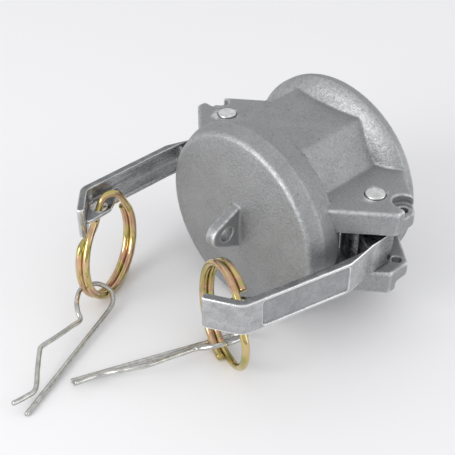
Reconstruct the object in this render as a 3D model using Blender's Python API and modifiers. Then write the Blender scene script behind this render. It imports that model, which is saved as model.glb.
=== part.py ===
"""Camlock dust cap, two inch: a cast cap with a gasket, two cam arms, two pull rings and two spring clips.

Frame: the origin is the centre of the socket's floor, +Y points out of the mouth and +Z is up.
The cam arms are at the right (+X) and the left (-X), and their pins stand along Z.
All lengths are in metres.
"""

import math

import bmesh
import bpy
from mathutils import Vector

# Socket and gasket
SOCKET_RADIUS = 0.0320
SOCKET_DEPTH = 0.0500
MOUTH_CHAMFER = 0.0018
GASKET_BITE = 0.00135
GASKET_WIDTH = 0.00795
GASKET_THICKNESS = 0.00635
GASKET_EDGE = 0.0004
GASKET_SEAT = 0.00025
FLOOR_BOSS_HEIGHT = 0.0008

# Closed end
END_THICKNESS = 0.0083
END_CROWN = 0.0009
DISC_REACH = 0.0086
DISC_CHAMFER_IN = 0.0054
DISC_CHAMFER_BACK = 0.0040
DISC_FRONT_ROUND = 0.0040
DISC_SIDE_ROUND = 0.0025
DISC_DRAFT = 0.0021
DISC_BACK = 0.0094
DISC_BACK_ROUND = 0.0008

# Faceted body between the closed end and the flange, as wall thicknesses over the socket
WALL_AT_SIDE = 0.0022
WALL_AT_SLANT = 0.00164
WALL_AT_TOP = 0.0028
SLANT_ANGLE = math.radians(35.0)
FACET_ROUND = 0.0020

# Flange at the mouth
FLANGE_REACH = 0.0105
FLANGE_RIM = 0.0037
FLANGE_SHOULDER = 0.0058
FLANGE_EDGE = 0.0005

# Pins
PIN_FROM_SOCKET = 0.0087
PIN_FROM_FLOOR = 0.0254
PIN_RADIUS = 0.00395
PIN_PROUD = 0.0008
PIN_EDGE = 0.0004
PIN_PLAY = 0.00025

# Cam arms, measured from the pin with the lever running towards -Y
ARM_HEIGHT = 0.0142
ARM_THICKNESS = 0.0032
ARM_EDGE = 0.0005
ARM_SEAT = 0.0003
ARM_TOP_PLAY = 0.0032
HUB_OUT = 0.0093
CAM_RADIUS = 0.0087
CAM_OFFSET = 0.0035
CAM_BACK = 0.0005
CAM_WRAP = math.radians(210.0)
HUB_ROUND = 0.0089
HUB_DOWN = 0.0105
NECK_DOWN = 0.01415
NECK_FLARE = 0.0008
NECK_ROUND = 0.0025
NECK_OUT_INSET = 0.0005
NECK_OUT_RISE = 0.0050
ELBOW_OUT = 0.0109
ELBOW_DOWN = 0.0245
LEVER_LENGTH = 0.0460
LEVER_LEAN = math.radians(13.07)
TIP_LENGTH = 0.0159
TIP_LEAN = math.radians(61.0)
BEND_ROUND = 0.0060
ELBOW_ROUND = 0.0060
ELBOW_RUN = 0.0015
TIP_ROUND = 0.00144
PANEL_DEPTH = 0.0005
PANEL_MARGIN = 0.0027
PANEL_FROM_ELBOW = 0.0005
PANEL_FROM_BEND = 0.0082
CHANNEL_DEPTH = 0.0008
CHANNEL_FROM_ELBOW = 0.0050
WEB_THICKNESS = 0.0015
WEB_BELOW_TOP = 0.0068
WEB_HOLE_RADIUS = 0.0035
WEB_HOLE_BACK = 0.0030
WEB_HOLE_IN = 0.0079
WEB_RUN = 0.0150
WEB_LAND = 0.0034
WEB_ROUND = 0.0040
WEB_EDGE_SHARES = ((0.15, 1.15), (-0.62, 0.45), (-1.04, -0.95))
LEFT_ARM_OPEN = math.radians(12.6)

# Ears that hold the pins, two on each side
EAR_THICKNESS = 0.01035
EAR_REACH = 0.0145
EAR_TAB_FRONT = 0.0039
EAR_TAB_BACK = 0.0064
EAR_EDGE = 0.0009
EAR_CORNER_ROUND = 0.0016
EAR_FLANGE_IN = 0.0027
SAFETY_HOLE_RADIUS = 0.0020
SAFETY_HOLE_OUT = 0.0102
SAFETY_HOLE_BACK = 0.0044
POCKET_RADIUS = 0.00435
POCKET_DEPTH = 0.0040
WINDOW_PLAY = 0.0011
WINDOW_STEP = 0.0001

# Tether lug on the closed end
LUG_HALF_THICKNESS = 0.0023
LUG_BASE_HALF = 0.0096
LUG_REACH = 0.0142
LUG_TIP_RADIUS = 0.0050
LUG_TIP_TURN = math.radians(70.0)
LUG_HOLE_RADIUS = 0.0031
LUG_HOLE_OUT = 0.0069
LUG_EDGE = 0.0005

# Pull rings: split coils of wire through the webs of the arms
RING_WIRE_RADIUS = 0.0015
RING_TURN_GAP = 0.0001
RIGHT_RING_RADIUS = 0.0203
RIGHT_RING_HEADING = math.radians(-21.1)
RIGHT_RING_LEAN = math.radians(-4.7)
RIGHT_RING_HOLE_ANGLE = math.radians(41.5)
RIGHT_RING_FIRST_END = math.radians(26.5)
RIGHT_RING_LAST_END = math.radians(-545.0)
RIGHT_RING_BIAS = 0.0002
RIGHT_RING_CROSS_START = math.radians(-190.0)
RIGHT_RING_CROSS_END = math.radians(-315.0)
RIGHT_RING_DIP = 0.0021
RIGHT_RING_DIP_ANGLE = math.radians(-296.0)
RIGHT_RING_DIP_HALF = math.radians(24.0)
LEFT_RING_RADIUS = 0.0201
LEFT_RING_HEADING = math.radians(-65.3)
LEFT_RING_LEAN = math.radians(2.9)
LEFT_RING_FIRST_END = math.radians(-65.0)
LEFT_RING_LEAVE = math.radians(-298.0)
LEFT_RING_REJOIN = math.radians(-411.0)
LEFT_RING_LAST_END = math.radians(-696.0)
RING_STEP = math.radians(7.0)

# The left ring's way from under the web, up through its hole and back to the coil, seen from the hole.
LEFT_RING_HOLE = (-0.0049, 0.0156, -0.0041)
LEFT_RING_THREAD = [
    (0.0215, -0.0030, 0.0032),
    (0.0170, -0.0036, 0.0029),
    (0.0120, -0.0042, 0.0021),
    (0.0070, -0.0040, 0.0011),
    (0.0026, -0.0026, 0.0000),
    (0.0000, 0.0000, 0.0000),
    (-0.0016, 0.0026, 0.0004),
    (-0.0034, 0.0044, 0.0016),
    (-0.0054, 0.0046, 0.0036),
    (-0.0076, 0.0032, 0.0054),
]

# Spring clips: hairpins of thinner wire, each hooked round its ring
CLIP_WIRE_RADIUS = 0.0010
CLIP_LENGTH = 0.0565
CLIP_EYE_REACH = 0.0136
CLIP_EYE_DEPTH = 0.0141
LEFT_CLIP_HEADING = math.radians(-65.5)
LEFT_CLIP_CLIMB = math.radians(-0.2)
LEFT_CLIP_ROLL = math.radians(36.0)
LEFT_CLIP_FROM_RING = (0.01576, -0.01618, -0.01867)
RIGHT_CLIP_HEADING = math.radians(-109.5)
RIGHT_CLIP_CLIMB = math.radians(2.0)
RIGHT_CLIP_ROLL = math.radians(144.0)
RIGHT_CLIP_FROM_RING = (-0.00990, -0.00037, -0.02101)

# Fineness of round shapes
CAP_STEPS = 48
HOLE_STEPS = 24
ARC_STEPS = 5
WIRE_SPACING = 0.0024
MERGE_DISTANCE = 0.00001
CUT_MARGIN = 0.0030

# Places that follow from the sizes above
DISC_RADIUS = SOCKET_RADIUS + DISC_REACH
FLANGE_RADIUS = SOCKET_RADIUS + FLANGE_REACH
PIN_OUT = SOCKET_RADIUS + PIN_FROM_SOCKET
EAR_INNER_Z = (ARM_HEIGHT + ARM_SEAT + ARM_TOP_PLAY) / 2
EAR_OUTER_Z = EAR_INNER_Z + EAR_THICKNESS
ARM_BOTTOM = -EAR_INNER_Z + ARM_SEAT
ARM_TOP = ARM_BOTTOM + ARM_HEIGHT
WEB_TOP = ARM_TOP - WEB_BELOW_TOP
WEB_MIDDLE = WEB_TOP - WEB_THICKNESS / 2
GASKET_OUTER_RADIUS = SOCKET_RADIUS + GASKET_BITE
GASKET_INNER_RADIUS = GASKET_OUTER_RADIUS - GASKET_WIDTH
GROOVE_RADIUS = GASKET_OUTER_RADIUS + GASKET_SEAT
GROOVE_FLOOR = -FLOOR_BOSS_HEIGHT
GROOVE_TOP = GROOVE_FLOOR + GASKET_THICKNESS + 2 * GASKET_SEAT
WALL_OUT = SOCKET_RADIUS + WALL_AT_SIDE
WAIST_RADIUS = SOCKET_RADIUS + WALL_AT_SLANT / 2
CAM_SWING = CAM_OFFSET + CAM_RADIUS
TURN_OFFSET = RING_WIRE_RADIUS + RING_TURN_GAP / 2


def clear_scene():
    for item in list(bpy.data.objects):
        bpy.data.objects.remove(item, do_unlink=True)


def new_collection(name):
    collection = bpy.data.collections.new(name)
    bpy.context.scene.collection.children.link(collection)
    return collection


def new_material(name, rgb, roughness, metallic):
    material = bpy.data.materials.new(name)
    material.use_nodes = True
    shader = material.node_tree.nodes["Principled BSDF"]
    shader.inputs["Base Color"].default_value = (*rgb, 1.0)
    shader.inputs["Roughness"].default_value = roughness
    shader.inputs["Metallic"].default_value = metallic
    return material


def add_object(name, data, collection, material=None):
    item = bpy.data.objects.new(name, data)
    collection.objects.link(item)
    if material:
        data.materials.append(material)
    return item


def shade(item, degrees=35.0):
    item.data.shade_smooth()
    item.data.set_sharp_from_angle(angle=math.radians(degrees))


def rounded_outline(corners):
    """Turn corners of (x, y, radius) into points, with an arc at each corner that has a radius."""
    points = []
    count = len(corners)
    for index, (x, y, radius) in enumerate(corners):
        here = Vector((x, y))
        if radius == 0:
            points.append(here)
            continue
        before = (Vector(corners[index - 1][:2]) - here).normalized()
        after = (Vector(corners[(index + 1) % count][:2]) - here).normalized()
        half_angle = before.angle(after) / 2
        centre = here + (before + after).normalized() * (radius / math.sin(half_angle))
        start = here + before * (radius / math.tan(half_angle)) - centre
        end = here + after * (radius / math.tan(half_angle)) - centre
        turn = start.angle_signed(end)
        for step in range(ARC_STEPS + 1):
            angle = -turn * step / ARC_STEPS
            cosine, sine = math.cos(angle), math.sin(angle)
            spoke = Vector((start.x * cosine - start.y * sine, start.x * sine + start.y * cosine))
            points.append(centre + spoke)
    return points


def arc_points(centre, radius, first, last, steps):
    points = []
    for step in range(steps + 1):
        angle = first + (last - first) * step / steps
        points.append(Vector((centre[0] + radius * math.cos(angle), centre[1] + radius * math.sin(angle))))
    return points


def plate(name, points, bottom, top, collection, material=None):
    """A flat outline in XY, filled and given a thickness from bottom to top, as one welded mesh."""
    curve = bpy.data.curves.new(name, "CURVE")
    curve.dimensions = "2D"
    curve.fill_mode = "BOTH"
    curve.extrude = (top - bottom) / 2
    spline = curve.splines.new("POLY")
    spline.points.add(len(points) - 1)
    for place, point in zip(spline.points, points):
        place.co = (point[0], point[1], 0.0, 1.0)
    spline.use_cyclic_u = True
    outline = add_object(name + "_outline", curve, collection)
    bpy.context.view_layer.update()
    mesh = bpy.data.meshes.new_from_object(outline.evaluated_get(bpy.context.evaluated_depsgraph_get()))
    bpy.data.objects.remove(outline, do_unlink=True)
    mesh.name = name
    work = bmesh.new()
    work.from_mesh(mesh)
    bmesh.ops.translate(work, verts=work.verts, vec=(0.0, 0.0, (top + bottom) / 2))
    bmesh.ops.remove_doubles(work, verts=work.verts, dist=MERGE_DISTANCE)
    bmesh.ops.dissolve_limit(work, angle_limit=math.radians(0.5), verts=work.verts, edges=work.edges)
    bmesh.ops.recalc_face_normals(work, faces=work.faces)
    work.to_mesh(mesh)
    work.free()
    return add_object(name, mesh, collection, material)


def turned(name, profile, collection, material=None):
    """A profile of (radius, height) points, from the top down, turned round Z and laid along +Y."""
    half_step = math.pi / CAP_STEPS
    mesh = bpy.data.meshes.new(name)
    work = bmesh.new()
    corners = []
    for radius, height in profile:
        place = (radius * math.cos(half_step), radius * math.sin(half_step), height)
        corners.append(work.verts.new(place))
    for first, second in zip(corners, corners[1:]):
        work.edges.new((first, second))
    if profile[0][0] > 0:
        work.edges.new((corners[-1], corners[0]))
    work.to_mesh(mesh)
    work.free()
    item = add_object(name, mesh, collection, material)
    screw = item.modifiers.new("Turn", "SCREW")
    screw.steps = CAP_STEPS
    screw.render_steps = CAP_STEPS
    screw.use_merge_vertices = True
    screw.merge_threshold = MERGE_DISTANCE
    item.rotation_euler = (-math.pi / 2, 0.0, 0.0)
    return item


def cylinder(name, radius, bottom, top, place, collection, material=None):
    mesh = bpy.data.meshes.new(name)
    work = bmesh.new()
    bmesh.ops.create_cone(
        work, cap_ends=True, segments=HOLE_STEPS, radius1=radius, radius2=radius, depth=top - bottom
    )
    bmesh.ops.translate(work, verts=work.verts, vec=(0.0, 0.0, (top + bottom) / 2))
    work.to_mesh(mesh)
    work.free()
    item = add_object(name, mesh, collection, material)
    item.location = (place[0], place[1], 0.0)
    return item


def box(name, low, high, collection):
    mesh = bpy.data.meshes.new(name)
    work = bmesh.new()
    bmesh.ops.create_cube(work, size=1.0)
    for vert in work.verts:
        vert.co = [low[k] if vert.co[k] < 0 else high[k] for k in range(3)]
    work.to_mesh(mesh)
    work.free()
    return add_object(name, mesh, collection)


def bevel(item, width, segments=2, degrees=50.0):
    modifier = item.modifiers.new("Rounded edges", "BEVEL")
    modifier.width = width
    modifier.segments = segments
    modifier.limit_method = "ANGLE"
    modifier.angle_limit = math.radians(degrees)


def combine(item, other, operation):
    modifier = item.modifiers.new(operation.capitalize() + " " + other.name, "BOOLEAN")
    modifier.operation = operation
    modifier.object = other
    other.hide_render = True
    other.display_type = "WIRE"


def facet_corner(first_angle, first_distance, second_angle, second_distance):
    """Where two facets meet, each given by the angle of its normal and its distance from the axis."""
    scale = math.sin(second_angle - first_angle)
    x = (first_distance * math.sin(second_angle) - second_distance * math.sin(first_angle)) / scale
    y = (second_distance * math.cos(first_angle) - first_distance * math.cos(second_angle)) / scale
    return x, y


def cap_profile():
    """The turned blank, without its bore, from the mouth down to the closed end."""
    points = [(0.0, SOCKET_DEPTH), (FLANGE_RADIUS - FLANGE_EDGE, SOCKET_DEPTH)]
    points.append((FLANGE_RADIUS, SOCKET_DEPTH - FLANGE_EDGE))
    shoulder_top = SOCKET_DEPTH - FLANGE_RIM
    for step in range(ARC_STEPS + 1):
        angle = math.pi / 2 * step / ARC_STEPS
        radius = SOCKET_RADIUS + (FLANGE_RADIUS - SOCKET_RADIUS) * math.cos(angle)
        if radius > WAIST_RADIUS:
            points.append((radius, shoulder_top - FLANGE_SHOULDER * math.sin(angle)))
    points.append((WAIST_RADIUS, shoulder_top - FLANGE_SHOULDER))
    points.append((WAIST_RADIUS, DISC_BACK))
    back_radius = DISC_RADIUS - DISC_DRAFT
    points.append((back_radius - DISC_BACK_ROUND, DISC_BACK))
    face_radius = DISC_RADIUS - DISC_CHAMFER_IN
    face_height = END_CROWN - END_THICKNESS
    rim = rounded_outline(
        [
            (0.0, 0.0, 0.0),
            (back_radius, DISC_BACK - DISC_BACK_ROUND, 0.0),
            (DISC_RADIUS, face_height + DISC_CHAMFER_BACK, DISC_SIDE_ROUND),
            (face_radius, face_height, DISC_FRONT_ROUND),
            (0.0, face_height - END_CROWN / 2, 0.0),
        ]
    )
    points.extend((point.x, point.y) for point in rim[1:-1])
    for share in (0.75, 0.5, 0.25):
        points.append((face_radius * share, END_CROWN * share * share - END_THICKNESS))
    points.append((0.0, -END_THICKNESS))
    return points


def bore_profile():
    """What is cut from the mouth: chamfer, socket and the gasket's groove round a low boss."""
    top = SOCKET_DEPTH + CUT_MARGIN
    boss = GASKET_INNER_RADIUS - GASKET_SEAT
    return [
        (0.0, top),
        (SOCKET_RADIUS + MOUTH_CHAMFER + CUT_MARGIN, top),
        (SOCKET_RADIUS, SOCKET_DEPTH - MOUTH_CHAMFER),
        (SOCKET_RADIUS, GROOVE_TOP),
        (GROOVE_RADIUS, GROOVE_TOP),
        (GROOVE_RADIUS, GROOVE_FLOOR),
        (boss, GROOVE_FLOOR),
        (boss, 0.0),
        (0.0, 0.0),
    ]


def facet_outline():
    side = WALL_OUT
    slant = SOCKET_RADIUS + WALL_AT_SLANT
    top = SOCKET_RADIUS + WALL_AT_TOP
    low_x, low_z = facet_corner(0.0, side, SLANT_ANGLE, slant)
    high_x, high_z = facet_corner(SLANT_ANGLE, slant, math.pi / 2, top)
    corners = []
    for x, z in ((low_x, -low_z), (low_x, low_z), (high_x, high_z), (-high_x, high_z)):
        corners.append((x, z, FACET_ROUND))
    for x, z in ((-low_x, low_z), (-low_x, -low_z), (-high_x, -high_z), (high_x, -high_z)):
        corners.append((x, z, FACET_ROUND))
    return rounded_outline(corners)


def ear_outline(side):
    """An ear seen from above: a triangle that leans on the closed end and on the flange."""
    root = SOCKET_RADIUS - EAR_THICKNESS / 2
    disc_root = DISC_BACK / 3
    outer = PIN_OUT + EAR_REACH
    flange_root = SOCKET_DEPTH - FLANGE_RIM + FLANGE_EDGE
    corners = [
        (root, disc_root, 0.0),
        (WALL_OUT - FLANGE_EDGE, disc_root, 0.0),
        (outer, PIN_FROM_FLOOR - EAR_TAB_FRONT, EAR_CORNER_ROUND),
        (outer, PIN_FROM_FLOOR + EAR_TAB_BACK, EAR_CORNER_ROUND),
        (PIN_OUT - EAR_FLANGE_IN, flange_root - FLANGE_EDGE * 2, 0.0),
        (WALL_OUT - FLANGE_EDGE, flange_root, 0.0),
        (root, flange_root, 0.0),
    ]
    return rounded_outline([(side * x, y, radius) for x, y, radius in corners][::side])


def lug_outline():
    """The lug from the side, with x running out from the closed end."""
    base = END_THICKNESS / 3
    tip = END_THICKNESS + LUG_REACH - LUG_TIP_RADIUS
    points = [Vector((base, LUG_BASE_HALF)), Vector((base, -LUG_BASE_HALF))]
    points.append(Vector((END_THICKNESS, -LUG_BASE_HALF)))
    points.extend(arc_points((tip, 0.0), LUG_TIP_RADIUS, -LUG_TIP_TURN, LUG_TIP_TURN, 8))
    points.append(Vector((END_THICKNESS, LUG_BASE_HALF)))
    return [Vector((-point.x, point.y)) for point in points]


def lay_flat_outline_along_x(item):
    """Turn a plate made in XY so that its outline's x runs along Y and its thickness along X."""
    item.rotation_euler = (math.pi / 2, 0.0, math.pi / 2)


def build_cap(parts, cutters, metal):
    cap = turned("cap_body", cap_profile(), parts, metal)
    body = plate("faceted_body", facet_outline(), DISC_BACK / 2, SOCKET_DEPTH - FLANGE_RIM, cutters)
    body.rotation_euler = (-math.pi / 2, 0.0, 0.0)
    combine(cap, body, "UNION")
    for side, label in ((1, "right"), (-1, "left")):
        for level, bottom in (("upper", EAR_INNER_Z), ("lower", -EAR_OUTER_Z)):
            ear = plate(
                f"{level}_{label}_ear", ear_outline(side), bottom, bottom + EAR_THICKNESS, cutters
            )
            bevel(ear, EAR_EDGE)
            combine(cap, ear, "UNION")
    lug = plate("tether_lug", lug_outline(), -LUG_HALF_THICKNESS, LUG_HALF_THICKNESS, cutters)
    lay_flat_outline_along_x(lug)
    bevel(lug, LUG_EDGE)
    combine(cap, lug, "UNION")

    combine(cap, turned("socket_cutter", bore_profile(), cutters), "DIFFERENCE")
    lug_hole = cylinder(
        "lug_hole_cutter",
        LUG_HOLE_RADIUS,
        -LUG_HALF_THICKNESS - CUT_MARGIN,
        LUG_HALF_THICKNESS + CUT_MARGIN,
        (0.0, 0.0),
        cutters,
    )
    lug_hole.rotation_euler = (0.0, math.pi / 2, 0.0)
    lug_hole.location = (0.0, -END_THICKNESS - LUG_HOLE_OUT, 0.0)
    combine(cap, lug_hole, "DIFFERENCE")
    wall_from_pin = PIN_OUT - WALL_OUT
    window_half = math.sqrt(CAM_SWING**2 - wall_from_pin**2) + WINDOW_PLAY
    window_z = EAR_INNER_Z - WINDOW_STEP
    reach = EAR_OUTER_Z + CUT_MARGIN
    for side, label in ((1, "right"), (-1, "left")):
        ends = sorted((side * (PIN_OUT - CAM_SWING - CUT_MARGIN), side * (WALL_OUT + CUT_MARGIN)))
        window = box(
            f"{label}_window_cutter",
            (ends[0], PIN_FROM_FLOOR - window_half, -window_z),
            (ends[1], PIN_FROM_FLOOR + window_half, window_z),
            cutters,
        )
        combine(cap, window, "DIFFERENCE")
        pin_place = (side * PIN_OUT, PIN_FROM_FLOOR)
        bore = cylinder(f"{label}_pin_cutter", PIN_RADIUS + PIN_PLAY, -reach, reach, pin_place, cutters)
        combine(cap, bore, "DIFFERENCE")
        hole_place = (side * (PIN_OUT + SAFETY_HOLE_OUT), PIN_FROM_FLOOR + SAFETY_HOLE_BACK)
        hole = cylinder(f"{label}_safety_cutter", SAFETY_HOLE_RADIUS, -reach, reach, hole_place, cutters)
        combine(cap, hole, "DIFFERENCE")
        for level, sign in (("upper", 1), ("lower", -1)):
            floor = EAR_OUTER_Z - POCKET_DEPTH
            heights = sorted((sign * floor, sign * reach))
            pocket = plate(
                f"{level}_{label}_pocket_cutter", pocket_outline(side), heights[0], heights[1], cutters
            )
            pocket.location = (hole_place[0], hole_place[1], 0.0)
            combine(cap, pocket, "DIFFERENCE")
    shade(cap)
    return cap


def pocket_outline(side):
    """A round pocket that runs out through the edge of the ear."""
    run = EAR_REACH - SAFETY_HOLE_OUT + CUT_MARGIN
    points = arc_points((0.0, 0.0), POCKET_RADIUS, math.radians(90), math.radians(270), 12)
    points.append(Vector((run, -POCKET_RADIUS)))
    points.append(Vector((run, POCKET_RADIUS)))
    return [Vector((side * point.x, point.y)) for point in points][::side]


def build_gasket(parts, rubber):
    bottom = GROOVE_FLOOR + GASKET_SEAT
    top = bottom + GASKET_THICKNESS
    edge = GASKET_EDGE
    profile = [
        (GASKET_INNER_RADIUS + edge, top),
        (GASKET_OUTER_RADIUS - edge, top),
        (GASKET_OUTER_RADIUS, top - edge),
        (GASKET_OUTER_RADIUS, bottom + edge),
        (GASKET_OUTER_RADIUS - edge, bottom),
        (GASKET_INNER_RADIUS + edge, bottom),
        (GASKET_INNER_RADIUS, bottom + edge),
        (GASKET_INNER_RADIUS, top - edge),
    ]
    gasket = turned("gasket", profile, parts, rubber)
    shade(gasket)


def build_pin(label, side, parts, steel):
    end = EAR_OUTER_Z + PIN_PROUD
    place = (side * PIN_OUT, PIN_FROM_FLOOR)
    pin = cylinder(f"pin_{label}", PIN_RADIUS, -end, end, place, parts, steel)
    bevel(pin, PIN_EDGE)
    shade(pin)


def heading_vector(angle):
    """The direction of a lever that leans inwards by this angle from -Y."""
    return Vector((-math.sin(angle), -math.cos(angle)))


def inward(direction):
    """The inner side of a strip that runs this way."""
    return Vector((direction.y, -direction.x))


def arm_stations():
    """The elbow, the bend and the tip on the arm's outer face."""
    elbow = Vector((ELBOW_OUT, -ELBOW_DOWN))
    bend = elbow + heading_vector(LEVER_LEAN) * LEVER_LENGTH
    tip = bend + heading_vector(TIP_LEAN) * TIP_LENGTH
    return elbow, bend, tip


def web_hole_place():
    bend = arm_stations()[1]
    lever = heading_vector(LEVER_LEAN)
    return bend - lever * WEB_HOLE_BACK + inward(lever) * WEB_HOLE_IN


def arm_outline(side):
    """The arm from above: cam head, neck, lever and turned-in tip, as a strip of even thickness."""
    elbow, bend, tip = arm_stations()
    lever = heading_vector(LEVER_LEAN)
    end = heading_vector(TIP_LEAN)
    lever_in = inward(lever) * ARM_THICKNESS
    half_turn = (TIP_LEAN - LEVER_LEAN) / 2
    bend_in = bend + inward(heading_vector(LEVER_LEAN + half_turn)) * (ARM_THICKNESS / math.cos(half_turn))
    quarter = math.pi / 2
    corners = [(HUB_OUT, CAM_RADIUS - CAM_BACK, HUB_ROUND)]
    for point in arc_points((-CAM_OFFSET, -CAM_BACK), CAM_RADIUS, quarter, quarter + CAM_WRAP, 16):
        corners.append((point.x, point.y, 0.0))
    neck_in = elbow + lever_in - lever * (ELBOW_DOWN - NECK_DOWN)
    corners.append((neck_in.x - NECK_FLARE, neck_in.y, NECK_ROUND))
    elbow_in = elbow + lever_in + lever * ELBOW_RUN
    corners.append((elbow_in.x, elbow_in.y, ELBOW_ROUND))
    corners.append((bend_in.x, bend_in.y, BEND_ROUND - ARM_THICKNESS))
    tip_in = tip + inward(end) * ARM_THICKNESS
    corners.append((tip_in.x, tip_in.y, TIP_ROUND))
    corners.append((tip.x, tip.y, TIP_ROUND))
    corners.append((bend.x, bend.y, BEND_ROUND))
    corners.append((elbow.x, elbow.y, BEND_ROUND))
    corners.append((elbow.x - NECK_OUT_INSET, elbow.y + NECK_OUT_RISE, 0.0))
    corners.append((HUB_OUT, -HUB_DOWN, 0.0))
    return rounded_outline([(side * x, y, radius) for x, y, radius in corners][::side])


def web_outline(side):
    """The thin web in the bend of the arm, round the hole that takes the ring."""
    bend, tip = arm_stations()[1:]
    lever = heading_vector(LEVER_LEAN)
    end = heading_vector(TIP_LEAN)
    half = ARM_THICKNESS / 2
    hole = web_hole_place()
    rim = WEB_HOLE_RADIUS + WEB_LAND
    start = bend - lever * (WEB_HOLE_BACK + WEB_RUN) + inward(lever) * half
    corner = bend + inward(heading_vector((LEVER_LEAN + TIP_LEAN) / 2)) * half
    finish = tip - end * half + inward(end) * half
    corners = [(start.x, start.y, 0.0)]
    for along_x, along_y in WEB_EDGE_SHARES:
        corners.append((hole.x + rim * along_x, hole.y + rim * along_y, WEB_ROUND))
    corners.append((finish.x, finish.y, 0.0))
    corners.append((corner.x, corner.y, 0.0))
    return rounded_outline([(side * x, y, radius) for x, y, radius in corners][::side])


def lever_recess(name, side, depth_range, low, high, start, finish, cutters):
    """A cutter with rounded corners that sinks a panel into one face of the lever."""
    elbow = arm_stations()[0]
    lever = heading_vector(LEVER_LEAN)
    corners = [(start, low), (finish, low), (finish, high), (start, high)]
    outline = rounded_outline([(x, y, PANEL_MARGIN) for x, y in corners])
    recess = plate(name, outline, depth_range[0], depth_range[1], cutters)
    along = Vector((side * lever.x, lever.y, 0.0))
    across = Vector((side * inward(lever).x, inward(lever).y, 0.0))
    upright = Vector((0.0, 0.0, 1.0))
    for vert in recess.data.vertices:
        x, y, z = vert.co
        vert.co = Vector((side * elbow.x, elbow.y, 0.0)) + along * x + upright * y + across * z
    work = bmesh.new()
    work.from_mesh(recess.data)
    bmesh.ops.recalc_face_normals(work, faces=work.faces)
    work.to_mesh(recess.data)
    work.free()
    return recess


def build_arm(label, side, open_angle, parts, cutters, metal):
    arm = plate(f"arm_{label}", arm_outline(side), ARM_BOTTOM, ARM_TOP, parts, metal)
    bevel(arm, ARM_EDGE)
    web = plate(f"{label}_web", web_outline(side), WEB_TOP - WEB_THICKNESS, WEB_TOP, cutters)
    combine(arm, web, "UNION")
    low = ARM_BOTTOM + PANEL_MARGIN
    high = ARM_TOP - PANEL_MARGIN
    panel_end = LEVER_LENGTH - PANEL_FROM_BEND
    panel_span = (-CUT_MARGIN, PANEL_DEPTH)
    panel = lever_recess(
        f"{label}_panel_cutter", side, panel_span, low, high, PANEL_FROM_ELBOW, panel_end, cutters
    )
    combine(arm, panel, "DIFFERENCE")
    channel_span = (ARM_THICKNESS - CHANNEL_DEPTH, ARM_THICKNESS + CUT_MARGIN)
    channel_end = LEVER_LENGTH - WEB_HOLE_BACK - WEB_RUN - PANEL_MARGIN
    channel = lever_recess(
        f"{label}_channel_cutter", side, channel_span, low, high, CHANNEL_FROM_ELBOW, channel_end, cutters
    )
    combine(arm, channel, "DIFFERENCE")
    bore = cylinder(
        f"{label}_arm_bore_cutter",
        PIN_RADIUS + ARM_SEAT,
        ARM_BOTTOM - CUT_MARGIN,
        ARM_TOP + CUT_MARGIN,
        (0.0, 0.0),
        cutters,
    )
    combine(arm, bore, "DIFFERENCE")
    hole = web_hole_place()
    ring_hole = cylinder(
        f"{label}_ring_hole_cutter",
        WEB_HOLE_RADIUS,
        WEB_TOP - WEB_THICKNESS - CUT_MARGIN / 4,
        WEB_TOP + CUT_MARGIN / 4,
        (side * hole.x, hole.y),
        cutters,
    )
    combine(arm, ring_hole, "DIFFERENCE")
    pivot = bpy.data.objects.new(f"{label}_arm_pivot", None)
    parts.objects.link(pivot)
    pivot.location = (side * PIN_OUT, PIN_FROM_FLOOR, 0.0)
    pivot.rotation_euler = (0.0, 0.0, side * open_angle)
    for piece in (arm, web, panel, channel, bore, ring_hole):
        piece.parent = pivot
    shade(arm)


def web_hole_in_world(side, open_angle):
    hole = web_hole_place()
    x, y = side * hole.x, hole.y
    turn = side * open_angle
    cosine, sine = math.cos(turn), math.sin(turn)
    return Vector(
        (
            side * PIN_OUT + x * cosine - y * sine,
            PIN_FROM_FLOOR + x * sine + y * cosine,
            WEB_MIDDLE,
        )
    )


def ring_axes(heading, lean):
    """The ring's level direction in its plane, its axis and its upward direction in its plane."""
    level = Vector((math.cos(heading), math.sin(heading), 0.0))
    across = Vector((-math.sin(heading), math.cos(heading), 0.0))
    up = Vector((0.0, 0.0, 1.0))
    axis = across * math.cos(lean) + up * math.sin(lean)
    rise = up * math.cos(lean) - across * math.sin(lean)
    return level, axis, rise


def ease(share):
    share = min(max(share, 0.0), 1.0)
    return share * share * (3 - 2 * share)


def smooth_route(points, spacing):
    """Points at an even spacing along a Catmull-Rom curve through the given points."""
    padded = [points[0] * 2 - points[1], *points, points[-1] * 2 - points[-2]]
    dense = []
    pieces = 12
    for a, b, c, d in zip(padded, padded[1:], padded[2:], padded[3:]):
        for step in range(pieces):
            t = step / pieces
            dense.append(
                (b * 2 + (c - a) * t + (a * 2 - b * 5 + c * 4 - d) * t**2 + (b * 3 - a - c * 3 + d) * t**3)
                / 2
            )
    dense.append(points[-1])
    lengths = [0.0]
    for first, second in zip(dense, dense[1:]):
        lengths.append(lengths[-1] + (second - first).length)
    count = max(2, round(lengths[-1] / spacing))
    route = []
    index = 0
    for step in range(count + 1):
        target = lengths[-1] * step / count
        while index < len(lengths) - 2 and lengths[index + 1] < target:
            index += 1
        share = (target - lengths[index]) / (lengths[index + 1] - lengths[index])
        route.append(dense[index].lerp(dense[index + 1], share))
    return route


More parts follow.
